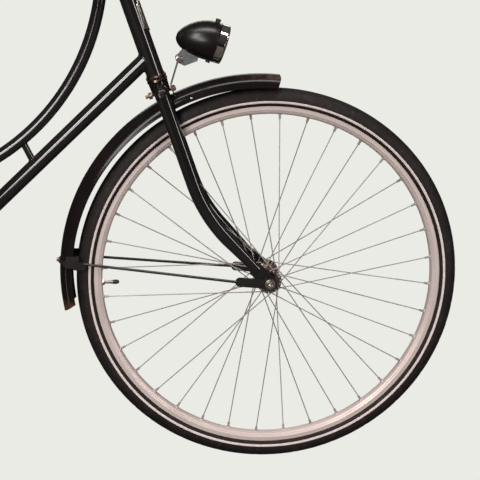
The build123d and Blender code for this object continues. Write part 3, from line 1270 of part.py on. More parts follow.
os.makedirs("parts", exist_ok=True)
for name, shape in NODES.items():
    export_step(shape, "parts/" + name + ".step")
    print(name, round(shape.volume))
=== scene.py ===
import math

import bmesh
import bpy
from mathutils import Matrix, Vector


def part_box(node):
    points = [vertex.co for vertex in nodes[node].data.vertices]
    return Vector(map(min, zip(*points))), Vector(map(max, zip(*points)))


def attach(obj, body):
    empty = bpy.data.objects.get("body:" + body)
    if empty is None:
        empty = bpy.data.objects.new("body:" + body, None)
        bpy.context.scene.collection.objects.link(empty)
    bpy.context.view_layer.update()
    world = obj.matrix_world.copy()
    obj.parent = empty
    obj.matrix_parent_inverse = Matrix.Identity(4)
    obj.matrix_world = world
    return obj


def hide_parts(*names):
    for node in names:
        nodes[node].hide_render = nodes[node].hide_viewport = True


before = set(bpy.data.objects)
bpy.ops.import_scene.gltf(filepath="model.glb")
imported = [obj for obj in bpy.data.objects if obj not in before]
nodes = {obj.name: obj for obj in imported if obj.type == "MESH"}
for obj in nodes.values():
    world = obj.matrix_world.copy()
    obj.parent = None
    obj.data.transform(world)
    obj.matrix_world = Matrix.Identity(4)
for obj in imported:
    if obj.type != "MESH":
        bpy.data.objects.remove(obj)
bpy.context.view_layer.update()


def level(degrees):
    """The way forward and up at an angle over level ground."""
    return Vector((math.cos(math.radians(degrees)), 0.0, math.sin(math.radians(degrees))))


# Places in the CAD frame and sizes, in metres and degrees
FRONT = Vector((0.581883, 0.0, 0.350))
REAR = Vector((-0.557903, 0.0, 0.362))
BB = Vector((-0.103117, 0.0, 0.300))
REAR_WAY = (REAR - BB).normalized()
SIDE = Vector((0.0, 1.0, 0.0))
RIGHT = Vector((0.0, -1.0, 0.0))
UP = Vector((0.0, 0.0, 1.0))
DOWN = Vector((0.0, 0.0, -1.0))
HEAD_UP = level(180 - 69.9)
HEAD_FORE = level(90 - 69.9)
SEAT_UP = level(180 - 68.5)
DOWN_DIR = level(44.8)
STEM_TOP = Vector((0.24586, 0.0, 1.06166))
BAR_AT = Vector((0.29094, 0.0, 1.07816))
LAMP_FRONT = Vector((0.4939, 0.0, 0.7742))
LAMP_EAR = Vector((0.4119, 0.0, 0.7500))
LAMP_TILT = 16.6
FORK_RAKE = 0.071
AXLE_END = 0.0585
TYRE = 0.350
SECTION = 0.0191
RIM = 0.3187
NIPPLE_SEAT = RIM - 0.0152
VALVE_SEAT = RIM - 0.0153
SPOKES = 36
NIPPLE_STAGGER = 0.0022
FRONT_PHASE, REAR_PHASE = 7.5, 2.5
GUARD_MID = FRONT + Vector((-0.0173, 0.0, 0.0122))
GUARD_R = 0.3633
REAR_GUARD_R = 0.374
STAY_BLOCK_ANGLE = 177.3
CASE_OUTER = 0.068
CRANK_TILT = 35.0
CRANK_LENGTH = 0.170
PEDAL_MID, PEDAL_OUTER = 0.146, 0.195
HANDS = (("left", 1), ("right", -1))

# Radii of the tubes that meet, and the places where they do
HEAD_TUBE, SEAT_TUBE, DOWN_TUBE, LOOP_TUBE = 0.0159, 0.0143, 0.0140, 0.0111
SHELL, BRACE_TUBE, CHAIN_STAY = 0.0200, 0.0060, 0.0080
LOOP_MID = Vector((-0.12864, 0.0, 0.90785))
LOOP_RADIUS = 0.4043
LOOP_RISE = Vector((0.09932, 0.0, 0.99506))
DOWN_FOOT = Vector((0.27017, 0.0, 0.66391))
BRACE_FOOT = Vector((0.16359, 0.0, 0.54198))
BRACE_WAY = Vector((-0.45399, 0.0, 0.89101))


def steer(up):
    """A place on the steering axis, by its height along it from beside the front axle."""
    return FRONT - HEAD_FORE * FORK_RAKE + HEAD_UP * up


def polar(centre, radius, angle, side=0.0):
    """A place round a centre in side view, by radius and angle, and how far to the left."""
    a = math.radians(angle)
    return centre + Vector((radius * math.cos(a), side, radius * math.sin(a)))


def pedal_axis(hand):
    """Where the pedal's axis passes the middle plane; hand is 1 on the left and -1 on the right."""
    return BB + level(180 - CRANK_TILT) * CRANK_LENGTH * hand


# Materials
class Graph:
    """A short way to build a shader: nodes are made by type and wired by name."""

    def __init__(self, name):
        self.mat = bpy.data.materials.new(name)
        self.mat.use_nodes = True
        self.tree = self.mat.node_tree
        self.tree.nodes.clear()
        self.out = self.make("ShaderNodeOutputMaterial")
        self.shader = self.make("ShaderNodeBsdfPrincipled")
        self.tree.links.new(self.shader.outputs["BSDF"], self.out.inputs["Surface"])
        self.coords = self.make("ShaderNodeTexCoord").outputs["Object"]

    def make(self, kind, **props):
        node = self.tree.nodes.new(kind)
        for key, value in props.items():
            setattr(node, key, value)
        return node

    def link(self, source, socket):
        self.tree.links.new(source, socket)

    def noise(self, scale, detail=3.0, rough=0.55):
        """A noise value from 0 to 1 over the object's own coordinates."""
        node = self.make("ShaderNodeTexNoise")
        node.inputs["Scale"].default_value = scale
        node.inputs["Detail"].default_value = detail
        node.inputs["Roughness"].default_value = rough
        self.link(self.coords, node.inputs["Vector"])
        return node.outputs["Fac"]

    def place(self):
        """X and Z of the point shaded, in the CAD frame."""
        node = self.make("ShaderNodeSeparateXYZ")
        self.link(self.coords, node.inputs["Vector"])
        return node.outputs["X"], node.outputs["Z"]

    def span(self, value, low, high, to_low=0.0, to_high=1.0):
        """Maps low..high to to_low..to_high, clamped."""
        node = self.make("ShaderNodeMapRange")
        node.inputs["From Min"].default_value = low
        node.inputs["From Max"].default_value = high
        node.inputs["To Min"].default_value = to_low
        node.inputs["To Max"].default_value = to_high
        self.link(value, node.inputs["Value"])
        return node.outputs["Result"]

    def math(self, operation, a, b=None):
        node = self.make("ShaderNodeMath", operation=operation)
        for socket, value in zip(node.inputs, (a, b)):
            if value is None:
                continue
            if isinstance(value, (int, float)):
                socket.default_value = value
            else:
                self.link(value, socket)
        return node.outputs[0]

    def mix(self, factor, first, second):
        """A colour between two, which are tuples or sockets."""
        node = self.make("ShaderNodeMix", data_type="RGBA")
        self.link(factor, node.inputs["Factor"])
        for name, value in (("A", first), ("B", second)):
            socket = [s for s in node.inputs if s.name == name and s.type == "RGBA"][0]
            if isinstance(value, tuple):
                socket.default_value = (*value, 1.0)
            else:
                self.link(value, socket)
        return [s for s in node.outputs if s.type == "RGBA"][0]

    def bump(self, height, strength, distance):
        node = self.make("ShaderNodeBump")
        node.inputs["Strength"].default_value = strength
        node.inputs["Distance"].default_value = distance
        self.link(height, node.inputs["Height"])
        self.link(node.outputs["Normal"], self.shader.inputs["Normal"])

    def set(self, **values):
        names = {"metal": "Metallic", "rough": "Roughness", "coat": "Coat Weight", "coat_rough": "Coat Roughness",
                 "specular": "Specular IOR Level", "ior": "IOR", "colour": "Base Color"}
        for key, value in values.items():
            socket = self.shader.inputs[names[key]]
            if isinstance(value, tuple):
                socket.default_value = (*value, 1.0)
            elif isinstance(value, (int, float)):
                socket.default_value = value
            else:
                self.link(value, socket)


def tip_highlight_and_rust(g, colour, shine, tail):
    """Painted highlight: a lighter brown patch on top of the front mudguard's front end; and rust under the height of
    tail.
    """
    x, z = g.place()
    # Painted highlight: light brown on top of the front end, where light falls on it
    tip_highlight = g.math("MULTIPLY", g.span(x, 0.50, 0.70, 0.0, 0.9), g.span(z, 0.712, 0.722))
    tip_highlight = g.math("MULTIPLY", tip_highlight, g.span(g.noise(130.0, 4.0, 0.7), 0.35, 0.75))
    colour = g.mix(tip_highlight, colour, (0.26, 0.185, 0.130))
    ragged = g.math("ADD", z, g.math("MULTIPLY", g.noise(90.0, 4.0, 0.7), 0.030))
    rust = g.span(ragged, tail, tail + 0.012, 0.85, 0.0)
    colour = g.mix(rust, colour, (0.085, 0.040, 0.022))
    return colour, g.math("MAXIMUM", shine, g.math("MULTIPLY", rust, 0.6))


def paint(name, base, worn, rough, peel=0.02, dust=0.0, tail=None, coat=0.35, specular=0.45):
    """Gloss enamel: slight orange peel, uneven shine, a little dust, and where tail is given, a painted highlight on
    top of the front end with rust at the low end.
    """
    g = Graph(name)
    patches = g.noise(9.0, 4.0)
    fine = g.noise(420.0, 2.0)
    colour = g.mix(g.span(patches, 0.35, 0.75), base, worn)
    if dust:
        specks = g.span(g.noise(900.0, 1.0), 0.70, 0.78, 0.0, dust)
        colour = g.mix(specks, colour, (0.35, 0.31, 0.28))
    shine = g.span(patches, 0.3, 0.8, rough * 0.7, rough * 1.6)
    # Painted highlight on the front end, and rust at the low end
    if tail:
        colour, shine = tip_highlight_and_rust(g, colour, shine, tail)
    g.set(colour=colour, rough=shine, coat=coat, coat_rough=0.04, specular=specular)
    g.bump(fine, peel, 0.0004)
    return g.mat


def metal(name, base, tint, rough, rust=0.0, rust_colour=(0.10, 0.045, 0.02)):
    """Bare or plated metal: uneven tint, tarnish and rust where stated."""
    g = Graph(name)
    cloud = g.noise(60.0, 4.0)
    fine = g.noise(900.0, 3.0)
    colour = g.mix(g.span(cloud, 0.35, 0.7), base, tint)
    metalness = 1.0
    roughness = g.span(fine, 0.3, 0.7, rough * 0.75, rough * 1.35)
    if rust:
        spots = g.span(g.noise(260.0, 5.0, 0.7), 0.62 - rust * 0.25, 0.70 - rust * 0.15)
        colour = g.mix(spots, colour, rust_colour)
        metalness = g.span(spots, 0.0, 1.0, 1.0, 0.25)
        roughness = g.math("MAXIMUM", roughness, g.math("MULTIPLY", spots, 0.65))
    g.set(colour=colour, metal=metalness, rough=roughness)
    g.bump(fine, 0.05, 0.0003)
    return g.mat


def satin(name, base, tint):
    """Dull silver metal: mostly matt, faintly clouded, with fine marks."""
    g = Graph(name)
    cloud = g.noise(20.0, 4.0)
    marks = g.span(g.noise(300.0, 4.0, 0.7), 0.60, 0.78)
    colour = g.mix(g.span(cloud, 0.35, 0.7), base, tint)
    colour = g.mix(g.math("MULTIPLY", marks, 0.2), colour, (0.30, 0.22, 0.19))
    g.set(colour=colour, metal=0.25, rough=g.span(cloud, 0.3, 0.7, 0.42, 0.52), specular=0.5)
    g.bump(g.noise(800.0, 2.0), 0.03, 0.0002)
    return g.mat


def polymer(name, base, light, rough, grain, bump):
    """Moulded rubber or plastic with a fine grain."""
    g = Graph(name)
    cloud = g.noise(18.0, 4.0)
    fine = g.noise(grain, 3.0)
    g.set(colour=g.mix(g.span(cloud, 0.3, 0.75), base, light),
          rough=g.span(fine, 0.2, 0.8, rough * 0.85, rough * 1.1), specular=0.4)
    g.bump(fine, bump, 0.0004)
    return g.mat


def tyre_material(name, centre):
    """Brown-black rubber with a reflecting stripe round each wall."""
    g = Graph(name)
    x, z = g.place()
    dx = g.math("SUBTRACT", x, centre.x)
    dz = g.math("SUBTRACT", z, centre.z)
    radius = g.math("SQRT", g.math("ADD", g.math("MULTIPLY", dx, dx), g.math("MULTIPLY", dz, dz)))
    wobble = g.math("MULTIPLY", g.math("SUBTRACT", g.noise(160.0, 2.0), 0.5), 0.0004)
    radius = g.math("ADD", radius, wobble)
    inner, outer = 0.32440, 0.32885
    band = g.math("MULTIPLY", g.span(radius, inner, inner + 0.00025), g.span(radius, outer - 0.0003, outer, 1.0, 0.0))
    cloud = g.noise(14.0, 4.0)
    fine = g.noise(700.0, 3.0)
    rubber = g.mix(g.span(cloud, 0.3, 0.7), (0.009, 0.0065, 0.006), (0.016, 0.012, 0.011))
    dust = g.span(g.noise(90.0, 5.0, 0.7), 0.52, 0.80, 0.0, 0.22)
    rubber = g.mix(dust, rubber, (0.12, 0.10, 0.09))
    stripe = g.mix(g.span(g.noise(240.0, 4.0), 0.35, 0.7), (0.72, 0.62, 0.60), (0.56, 0.47, 0.45))
    g.set(colour=g.mix(band, rubber, stripe), rough=g.span(fine, 0.2, 0.8, 0.55, 0.75), specular=0.22)
    g.bump(fine, 0.15, 0.0004)
    return g.mat


def lens_material(name, colour, rough, flutes):
    """Moulded lens with fine flutes."""
    g = Graph(name)
    wave = g.make("ShaderNodeTexWave", wave_type="BANDS", bands_direction="Y")
    wave.inputs["Scale"].default_value = flutes
    g.link(g.coords, wave.inputs["Vector"])
    shade = g.mix(g.span(g.noise(40.0), 0.3, 0.7), colour, tuple(c * 0.8 for c in colour))
    g.set(colour=shade, rough=rough, ior=1.49, specular=0.6, coat=0.4)
    g.bump(wave.outputs["Fac"], 0.5, 0.0006)
    return g.mat


def leather(name):
    """Grained black vinyl of the saddle."""
    g = Graph(name)
    cells = g.make("ShaderNodeTexVoronoi", feature="DISTANCE_TO_EDGE")
    cells.inputs["Scale"].default_value = 520.0
    g.link(g.coords, cells.inputs["Vector"])
    cloud = g.noise(22.0, 4.0)
    g.set(colour=g.mix(g.span(cloud, 0.3, 0.75), (0.012, 0.011, 0.011), (0.026, 0.022, 0.020)),
          rough=g.span(cloud, 0.3, 0.7, 0.38, 0.55), specular=0.45)
    g.bump(g.span(cells.outputs["Distance"], 0.0, 0.09), 0.35, 0.0004)
    return g.mat


M = {
    "frame": paint("frame enamel", (0.0075, 0.0065, 0.007), (0.013, 0.011, 0.0115), 0.10),
    "guard": paint("mudguard enamel", (0.008, 0.007, 0.007), (0.020, 0.016, 0.016), 0.20, 0.03, 0.05,
                   coat=0.12, specular=0.25),
    # Painted shade: the front mudguard's enamel is a darker, duller copy of the mudguard enamel; it also carries the
    # painted highlight on its front end
    "front_guard": paint("front mudguard enamel", (0.0065, 0.005, 0.005), (0.012, 0.009, 0.0085), 0.16, 0.03,
                         tail=0.312, coat=0.08, specular=0.10),
    # Painted shade: the crown's enamel is a darker, duller copy of the frame enamel
    "crown": paint("crown enamel", (0.006, 0.005, 0.005), (0.010, 0.008, 0.008), 0.22, coat=0.06, specular=0.2),
    "carrier": paint("carrier enamel", (0.008, 0.008, 0.008), (0.016, 0.015, 0.015), 0.16, 0.03),
    "case": polymer("case plastic", (0.012, 0.012, 0.013), (0.020, 0.019, 0.019), 0.42, 500.0, 0.10),
    "lamp": polymer("lamp plastic", (0.0045, 0.0032, 0.0032), (0.0075, 0.0055, 0.0055), 0.31, 600.0, 0.02),
    "chrome": metal("chrome plate", (0.78, 0.76, 0.75), (0.66, 0.62, 0.60), 0.07),
    "hub": metal("aged chrome", (0.36, 0.29, 0.24), (0.20, 0.14, 0.11), 0.22, 0.45),
    "rim": satin("rim metal", (0.64, 0.545, 0.515), (0.57, 0.48, 0.45)),
    "spoke": satin("spoke steel", (0.40, 0.36, 0.34), (0.30, 0.27, 0.25)),
    "nipple": satin("nipple brass", (0.66, 0.58, 0.54), (0.52, 0.45, 0.41)),
    "steel": metal("zinc steel", (0.46, 0.43, 0.41), (0.33, 0.30, 0.28), 0.32, 0.2),
    "rusty": metal("rusty steel", (0.40, 0.30, 0.24), (0.22, 0.13, 0.09), 0.42, 0.8, (0.13, 0.05, 0.025)),
    "nut": metal("nut bronze", (0.74, 0.60, 0.48), (0.52, 0.38, 0.28), 0.24, 0.35),
    "wire": paint("stay enamel", (0.010, 0.009, 0.009), (0.030, 0.024, 0.022), 0.22),
    "rubber": polymer("black rubber", (0.012, 0.012, 0.012), (0.024, 0.022, 0.021), 0.62, 500.0, 0.2),
    "front_tyre": tyre_material("front tyre", FRONT),
    "rear_tyre": tyre_material("rear tyre", REAR),
    "clear": lens_material("clear lens", (0.80, 0.82, 0.84), 0.08, 60.0),
    "red": lens_material("red lens", (0.38, 0.012, 0.012), 0.12, 45.0),
    "amber": lens_material("amber reflector", (0.62, 0.20, 0.02), 0.15, 60.0),
    "saddle": leather("saddle vinyl"),
    "headset": metal("worn headset", (0.16, 0.125, 0.10), (0.07, 0.052, 0.042), 0.24, 0.35, (0.09, 0.045, 0.025)),
    "axle": metal("axle nut steel", (0.62, 0.57, 0.53), (0.40, 0.35, 0.31), 0.26, 0.25),
    "ear": metal("lamp ear zinc", (0.24, 0.25, 0.26), (0.15, 0.155, 0.16), 0.42, 0.1),
    "badge": metal("badge metal", (0.62, 0.58, 0.52), (0.44, 0.40, 0.35), 0.3, 0.2),
}

FINISH = {
    "front_tyre": "front_tyre", "rear_tyre": "rear_tyre", "front_rim": "rim", "rear_rim": "rim",
    "front_spokes": "spoke", "rear_spokes": "spoke", "front_hub": "hub", "rear_hub": "chrome",
    "front_valve": "steel", "rear_valve": "steel", "front_axle": "axle", "rear_axle": "steel",
    "fork_crown": "crown", "fork_blades": "frame", "steerer": "headset", "crown_bolt": "rusty",
    "head_locknut": "chrome", "head_cups": "headset", "head_tube": "frame", "head_badge": "badge",
    "down_tube": "frame", "loop_tube": "frame", "brace_tube": "frame", "seat_tube": "frame",
    "seat_clamp": "chrome", "bottom_bracket": "frame", "chain_stays": "frame", "seat_stays": "frame",
    "front_mudguard": "front_guard", "rear_mudguard": "guard", "front_guard_stays": "wire",
    "rear_guard_stays": "wire", "crank_spindle": "chrome", "crank_arm_left": "chrome",
    "crank_arm_right": "chrome", "pedal_frame_left": "steel", "pedal_frame_right": "steel",
    "pedal_rubbers_left": "rubber", "pedal_rubbers_right": "rubber", "chain_case": "case",
    "seat_post": "chrome", "saddle_clamp": "steel", "saddle_rails": "steel", "saddle_springs": "chrome",
    "saddle_plate": "steel", "saddle_cover": "saddle", "stem": "chrome", "handlebar": "chrome",
    "grips": "rubber", "bell": "chrome", "lamp_shell": "lamp", "lamp_ring": "chrome", "lamp_lens": "clear",
    "lamp_bracket": "axle", "lamp_ear": "ear", "stand_bracket": "steel", "stand_legs": "steel",
    "stand_feet": "rubber", "carrier": "carrier", "rear_lamp": "red",
}
for name, obj in nodes.items():
    obj.data.materials.clear()
    obj.data.materials.append(M[FINISH[name]])


# Geometry
def put(name, verts, faces, body, mat, smooth):
    """A mesh piece in place, on a body; edges sharper than smooth, in degrees, stay sharp."""
    mesh = bpy.data.meshes.new(name)
    mesh.from_pydata([tuple(v) for v in verts], [], faces)
    mesh.update()
    work = bmesh.new()
    work.from_mesh(mesh)
    bmesh.ops.recalc_face_normals(work, faces=work.faces)
    work.to_mesh(mesh)
    work.free()
    mesh.polygons.foreach_set("use_smooth", [True] * len(mesh.polygons))
    mesh.set_sharp_from_angle(angle=math.radians(smooth))
    obj = bpy.data.objects.new(name, mesh)
    bpy.context.collection.objects.link(obj)
    mesh.materials.append(M[mat])
    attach(obj, body)
    return obj


class Build:
    """Gathers several shapes into one mesh piece."""

    def __init__(self):
        self.verts = []
        self.faces = []

    def grid(self, rows, wrap_rows=False, wrap_cols=False, caps=False):
        """Quads over rows of points of equal length, closed round either way, and over the end rows."""
        base = len(self.verts)
        cols = len(rows[0])
        for row in rows:
            self.verts += row
        for i in range(len(rows) if wrap_rows else len(rows) - 1):
            k = (i + 1) % len(rows)
            for j in range(cols if wrap_cols else cols - 1):
                n = (j + 1) % cols
                self.faces.append(tuple(base + row * cols + col for row, col in ((i, j), (k, j), (k, n), (i, n))))
        if caps:
            self.faces.append(tuple(base + j for j in range(cols)))
            self.faces.append(tuple(base + (len(rows) - 1) * cols + j for j in reversed(range(cols))))

    def turn(self, profile, origin, axis, steps):
        """Turned shape: profile rows are (along, radius)."""
        axis = axis.normalized()
        u = axis.orthogonal().normalized()
        v = axis.cross(u)
        rows = []
        for k in range(steps):
            a = math.tau * k / steps
            way = u * math.cos(a) + v * math.sin(a)
            rows.append([origin + axis * h + way * r for h, r in profile])
        self.grid(rows, wrap_rows=True)

    def disc(self, origin, axis, radius, height, steps=24):
        """A low cylinder with a rounded rim, such as a bolt's head."""
        b = min(radius, height) * 0.25
        self.turn([(0, radius), (height - b, radius), (height - b * 0.3, radius - b * 0.3), (height, radius - b),
                   (height, 0.0)], origin, axis, steps)

    def hexagon(self, origin, axis, radius, height):
        """A hexagonal nut or bolt head with a chamfer."""
        self.turn([(0, radius), (height * 0.8, radius), (height, radius * 0.86), (height, 0.0)], origin, axis, 6)

    def wire(self, points, radius, sides=10, closed=False):
        """A round wire through points; the radius may be a list with one for each point."""
        points = [Vector(p) for p in points]
        count = len(points)
        rows = []
        normal = None
        for i, p in enumerate(points):
            before = points[i - 1] if (i or closed) else p
            after = points[(i + 1) % count] if (i < count - 1 or closed) else p
            tangent = (after - before).normalized()
            if normal is None:
                normal = tangent.orthogonal().normalized()
            normal = (normal - tangent * normal.dot(tangent)).normalized()
            cross = tangent.cross(normal)
            r = radius[i] if isinstance(radius, list) else radius
            turns = [math.tau * k / sides for k in range(sides)]
            rows.append([p + (normal * math.cos(a) + cross * math.sin(a)) * r for a in turns])
        self.grid(rows, wrap_rows=closed, wrap_cols=True, caps=not closed)

    def mirror(self):
        """Adds the same shapes on the other side of the middle plane."""
        base = len(self.verts)
        self.verts += [Vector((v[0], -v[1], v[2])) for v in list(self.verts)]
        self.faces += [tuple(base + i for i in reversed(face)) for face in list(self.faces)]

    def done(self, name, body, mat, smooth):
        return put(name, self.verts, self.faces, body, mat, smooth)


# Tyres with a ribbed tread
def tread_lift(across, i):
    """How far the skin stands off the solid tyre, by degrees from the crown and the step round the wheel."""
    cut = i % 6 < 2
    if across < 46:
        # Two grooves on each side, cuts across the ribs between them, and cuts in the shoulder
        if 7.5 < across < 10.0 or 21.0 < across < 24.0:
            lift = -0.0001
        elif 10.0 <= across <= 21.0 and (i + 3) % 9 == 0:
            lift = 0.0002
        elif across >= 24.0 and cut:
            lift = 0.0
        else:
            lift = 0.0006
    elif across < 49:
        lift = 0.0001 if cut else 0.0004
    elif 72 < across < 74 or 101 < across < 103:
        # Raised lines round the wall
        lift = 0.0004
    else:
        lift = 0.00012
    return lift


def tyre_skin(name, centre, body):
    mid = TYRE - SECTION
    steps, columns = 540, 60
    first = -38.0
    rows = []
    for i in range(steps):
        t = math.tau * i / steps
        row = []
        for j in range(columns + 1):
            a = first + (180 - 2 * first) * j / columns
            r = SECTION + tread_lift(abs(a - 90), i)
            radius = mid + r * math.sin(math.radians(a))
            y = r * math.cos(math.radians(a))
            row.append(Vector((centre.x + radius * math.cos(t), y, centre.z + radius * math.sin(t))))
        rows.append(row)
    shape = Build()
    shape.grid(rows, wrap_rows=True)
    return shape.done(name, body, body.split("_")[0] + "_tyre", 50)


tyre_skin("front_tread", FRONT, "front_wheel")
tyre_skin("rear_tread", REAR, "rear_wheel")


# Rims: an eyelet round every nipple
def eyelets(name, centre, phase, body):
    shape = Build()
    for i in range(SPOKES):
        side = NIPPLE_STAGGER if i % 2 else -NIPPLE_STAGGER
        foot = polar(centre, NIPPLE_SEAT, phase + i * 360 / SPOKES, side)
        inwards = (centre + SIDE * side - foot).normalized()
        shape.turn([(-0.0004, 0.0044), (0.0007, 0.0042), (0.0013, 0.0034), (0.0011, 0.0024)], foot, inwards, 12)
    return shape.done(name, body, "nipple", 50)


eyelets("front_eyelets", FRONT, FRONT_PHASE, "front_wheel")
eyelets("rear_eyelets", REAR, REAR_PHASE, "rear_wheel")


def valve_trim(name, centre, angle, body):
    """Lock nut at the rim and a dark cap on the stem's end."""
    foot = polar(centre, VALVE_SEAT, angle)
    inwards = (centre - foot).normalized()
    nut = Build()
    nut.hexagon(foot, inwards, 0.0062, 0.0030)
    nut.disc(foot + inwards * 0.0030, inwards, 0.0042, 0.0012)
    nut.done(name + "_nut", body, "nut", 30)
    cap = Build()
    cap.turn([(0.0195, 0.0034), (0.0195, 0.0041), (0.0270, 0.0041), (0.0290, 0.0030), (0.0302, 0.0024),
              (0.0306, 0.0)], foot, inwards, 16)
    cap.done(name + "_cap", body, "rubber", 30)


valve_trim("front_valve", FRONT, FRONT_PHASE + 175, "front_wheel")
valve_trim("rear_valve", REAR, REAR_PHASE + 235, "rear_wheel")


# Weld beads where the frame's tubes meet
def bead(shape, base, axis, radius, foot, way, branch, grow=0.0016, steps=40):
    """A bead where a branch tube leaves a main one: the branch runs from foot along way, outwards.

    The main tube passes base along axis. Each point is where a line along the branch's wall meets the main
    tube's wall: the outer root of a quadratic.
    """
    # Just outside the walls
    off = 0.0002
    axis = axis.normalized()
    way = way.normalized()
    u = way.orthogonal().normalized()
    v = way.cross(u)
    points = []
    for k in range(steps):
        a = math.tau * k / steps
        start = foot + (u * math.cos(a) + v * math.sin(a)) * (branch + off)
        rel = start - base
        p = rel - axis * rel.dot(axis)
        d = way - axis * way.dot(axis)
        aa, bb, cc = d.dot(d), 2 * p.dot(d), p.dot(p) - (radius + off) ** 2
        root = math.sqrt(max(bb * bb - 4 * aa * cc, 0.0))
        points.append(start + way * ((-bb + root) / (2 * aa)))
    shape.wire(points, grow, 10, closed=True)


def frame_welds():
    shape = Build()
    loop_top = polar(LOOP_MID, LOOP_RADIUS, -5.7) + LOOP_RISE * 0.2
    loop_foot = polar(LOOP_MID, LOOP_RADIUS, -99.0)
    bead(shape, steer(0.0), HEAD_UP, HEAD_TUBE, DOWN_FOOT, -DOWN_DIR, DOWN_TUBE)
    bead(shape, steer(0.0), HEAD_UP, HEAD_TUBE, loop_top, -LOOP_RISE, LOOP_TUBE)
    bead(shape, BB, SEAT_UP, SEAT_TUBE, loop_foot, Vector((1.0, 0.0, -0.15)), LOOP_TUBE)
    bead(shape, BB, SIDE, SHELL, BB, SEAT_UP, SEAT_TUBE)
    bead(shape, BB, SIDE, SHELL, BB, DOWN_DIR, DOWN_TUBE)
    bead(shape, DOWN_FOOT, DOWN_DIR, DOWN_TUBE, BRACE_FOOT, BRACE_WAY, BRACE_TUBE, 0.0012, 24)
    for hand in (1, -1):
        low = BB + SIDE * 0.0270 * hand
        knee = BB + REAR_WAY * 0.062 + SIDE * 0.0375 * hand
        bead(shape, BB, SIDE, SHELL, low, knee - low, CHAIN_STAY, 0.0013)
    return shape.done("frame_welds", "frame", "frame", 60)


frame_welds()


# Fasteners: heads, rivets and caps in their places, on the body that carries them
def heads(name, body, mat, hexes=(), domes=()):
    """Hexagon heads on washers, and domed heads. Rows are (place, axis, radius, height)."""
    washer = 0.0008
    shape = Build()
    for place, axis, radius, height in hexes:
        shape.disc(place, axis, radius * 1.25, washer, 20)
        shape.hexagon(place + axis.normalized() * washer, axis, radius, height)
    for place, axis, radius, height in domes:
        shape.turn([(0.0, radius), (height * 0.55, radius * 0.86), (height * 0.9, radius * 0.45), (height, 0.0)],
                   place, axis, 18)
    return shape.done(name, body, mat, 30)


def caps(name, body, slot, mat, profile, places, steps):
    """The same turned washer or cap at each of the places, which are (place, axis)."""
    shape = Build()
    for place, axis in places:
        shape.turn(profile, place, axis, steps)
    return shape.done(name, body, mat, 30)


def fasteners():
    heads("stem_bolt", "fork", "chrome",
          [(STEM_TOP + HEAD_UP * 0.0134, HEAD_UP, 0.0065, 0.0050), (BAR_AT + DOWN * 0.0170, DOWN, 0.0055, 0.0045)])
    caps("axle_washers", "fork", "bare_steel", "axle",
         [(0.0, 0.0096), (0.0010, 0.0096), (0.0013, 0.0092), (0.0013, 0.0050)],
         [(FRONT + SIDE * AXLE_END * hand, SIDE * hand) for hand in (1, -1)], 32)
    # Angle on the front mudguard, distance from the middle plane
    table = ((112.0, 0.0276), (176.2, 0.0282), (120.0, 0.0276))
    heads("guard_rivets", "fork", "nut",
          domes=[(polar(GUARD_MID, GUARD_R - 0.0175, angle, across * hand), SIDE * hand, 0.0022, 0.0012)
                 for angle, across in table for hand in (1, -1)])
    ridge = polar(GUARD_MID, GUARD_R + 0.0022, STAY_BLOCK_ANGLE)
    heads("guard_bolt", "fork", "rusty", [(ridge, ridge - GUARD_MID, 0.0040, 0.0035)])
    heads("rear_stay_bolts", "frame", "steel",
          [(polar(REAR, REAR_GUARD_R - 0.014, angle, 0.0355 * hand), SIDE * hand, 0.0036, 0.0030)
           for angle in (128.0, 172.0) for hand in (1, -1)])
    for name, hand in HANDS:
        caps("crank_cap_" + name, "crank", "chrome", "chrome",
             [(0.0, 0.0125), (0.0030, 0.0125), (0.0044, 0.0105), (0.0040, 0.0060), (0.0036, 0.0)],
             [(BB + SIDE * hand * 0.0872, SIDE * hand)], 28)
        caps("pedal_cap_" + name, "pedal_" + name, "black_plastic", "rubber",
             [(0.0, 0.0085), (0.0018, 0.0085), (0.0030, 0.0065), (0.0030, 0.0)],
             [(pedal_axis(hand) + SIDE * hand * PEDAL_OUTER, SIDE * hand)], 24)


fasteners()


# Pedals: reflectors let into the rubbers' outer faces
def slab(shape, middle, u, v, n, wide, tall, thick):
    """A flat piece with cut corners and chamfered edges, its face towards n."""
    bevel = 0.0012
    rows = []
    for depth, inset in ((0.0, 0.0), (thick - bevel, 0.0), (thick, bevel)):
        w, t = wide / 2 - inset, tall / 2 - inset
        c = min(w, t) * 0.25
        outline = [(w, t - c), (w - c, t), (c - w, t), (-w, t - c), (-w, c - t), (c - w, -t), (w - c, -t),
                   (w, c - t)]
        rows.append([middle + u * a + v * b + n * depth for a, b in outline])
    shape.grid(rows, wrap_cols=True, caps=True)


for name, hand in HANDS:
    shape = Build()
    for fore in (1, -1):
        middle = pedal_axis(hand) + SIDE * hand * PEDAL_MID + Vector((fore * 0.0392, 0.0, 0.0))
        slab(shape, middle, SIDE, UP, Vector((fore, 0.0, 0.0)), 0.060, 0.013, 0.0016)
    shape.done("pedal_reflectors_" + name, "pedal_" + name, "amber", 20)


# Chain case: a pressed bead inside the edge, two rings round the crank's axis and its screws
def case_points(front, rear, y, steps=20):
    """Points round the outline of two round ends joined by tangents."""
    run = REAR - BB
    lean = math.acos((front - rear) / run.length)
    tilt = math.atan2(run.z, run.x)
    points = []
    for centre, radius, start, stop in ((BB, front, lean, math.tau - lean), (REAR, rear, -lean, lean)):
        for i in range(steps + 1):
            a = tilt + start + (stop - start) * i / steps
            points.append(Vector((centre.x + radius * math.cos(a), y, centre.z + radius * math.sin(a))))
    return points


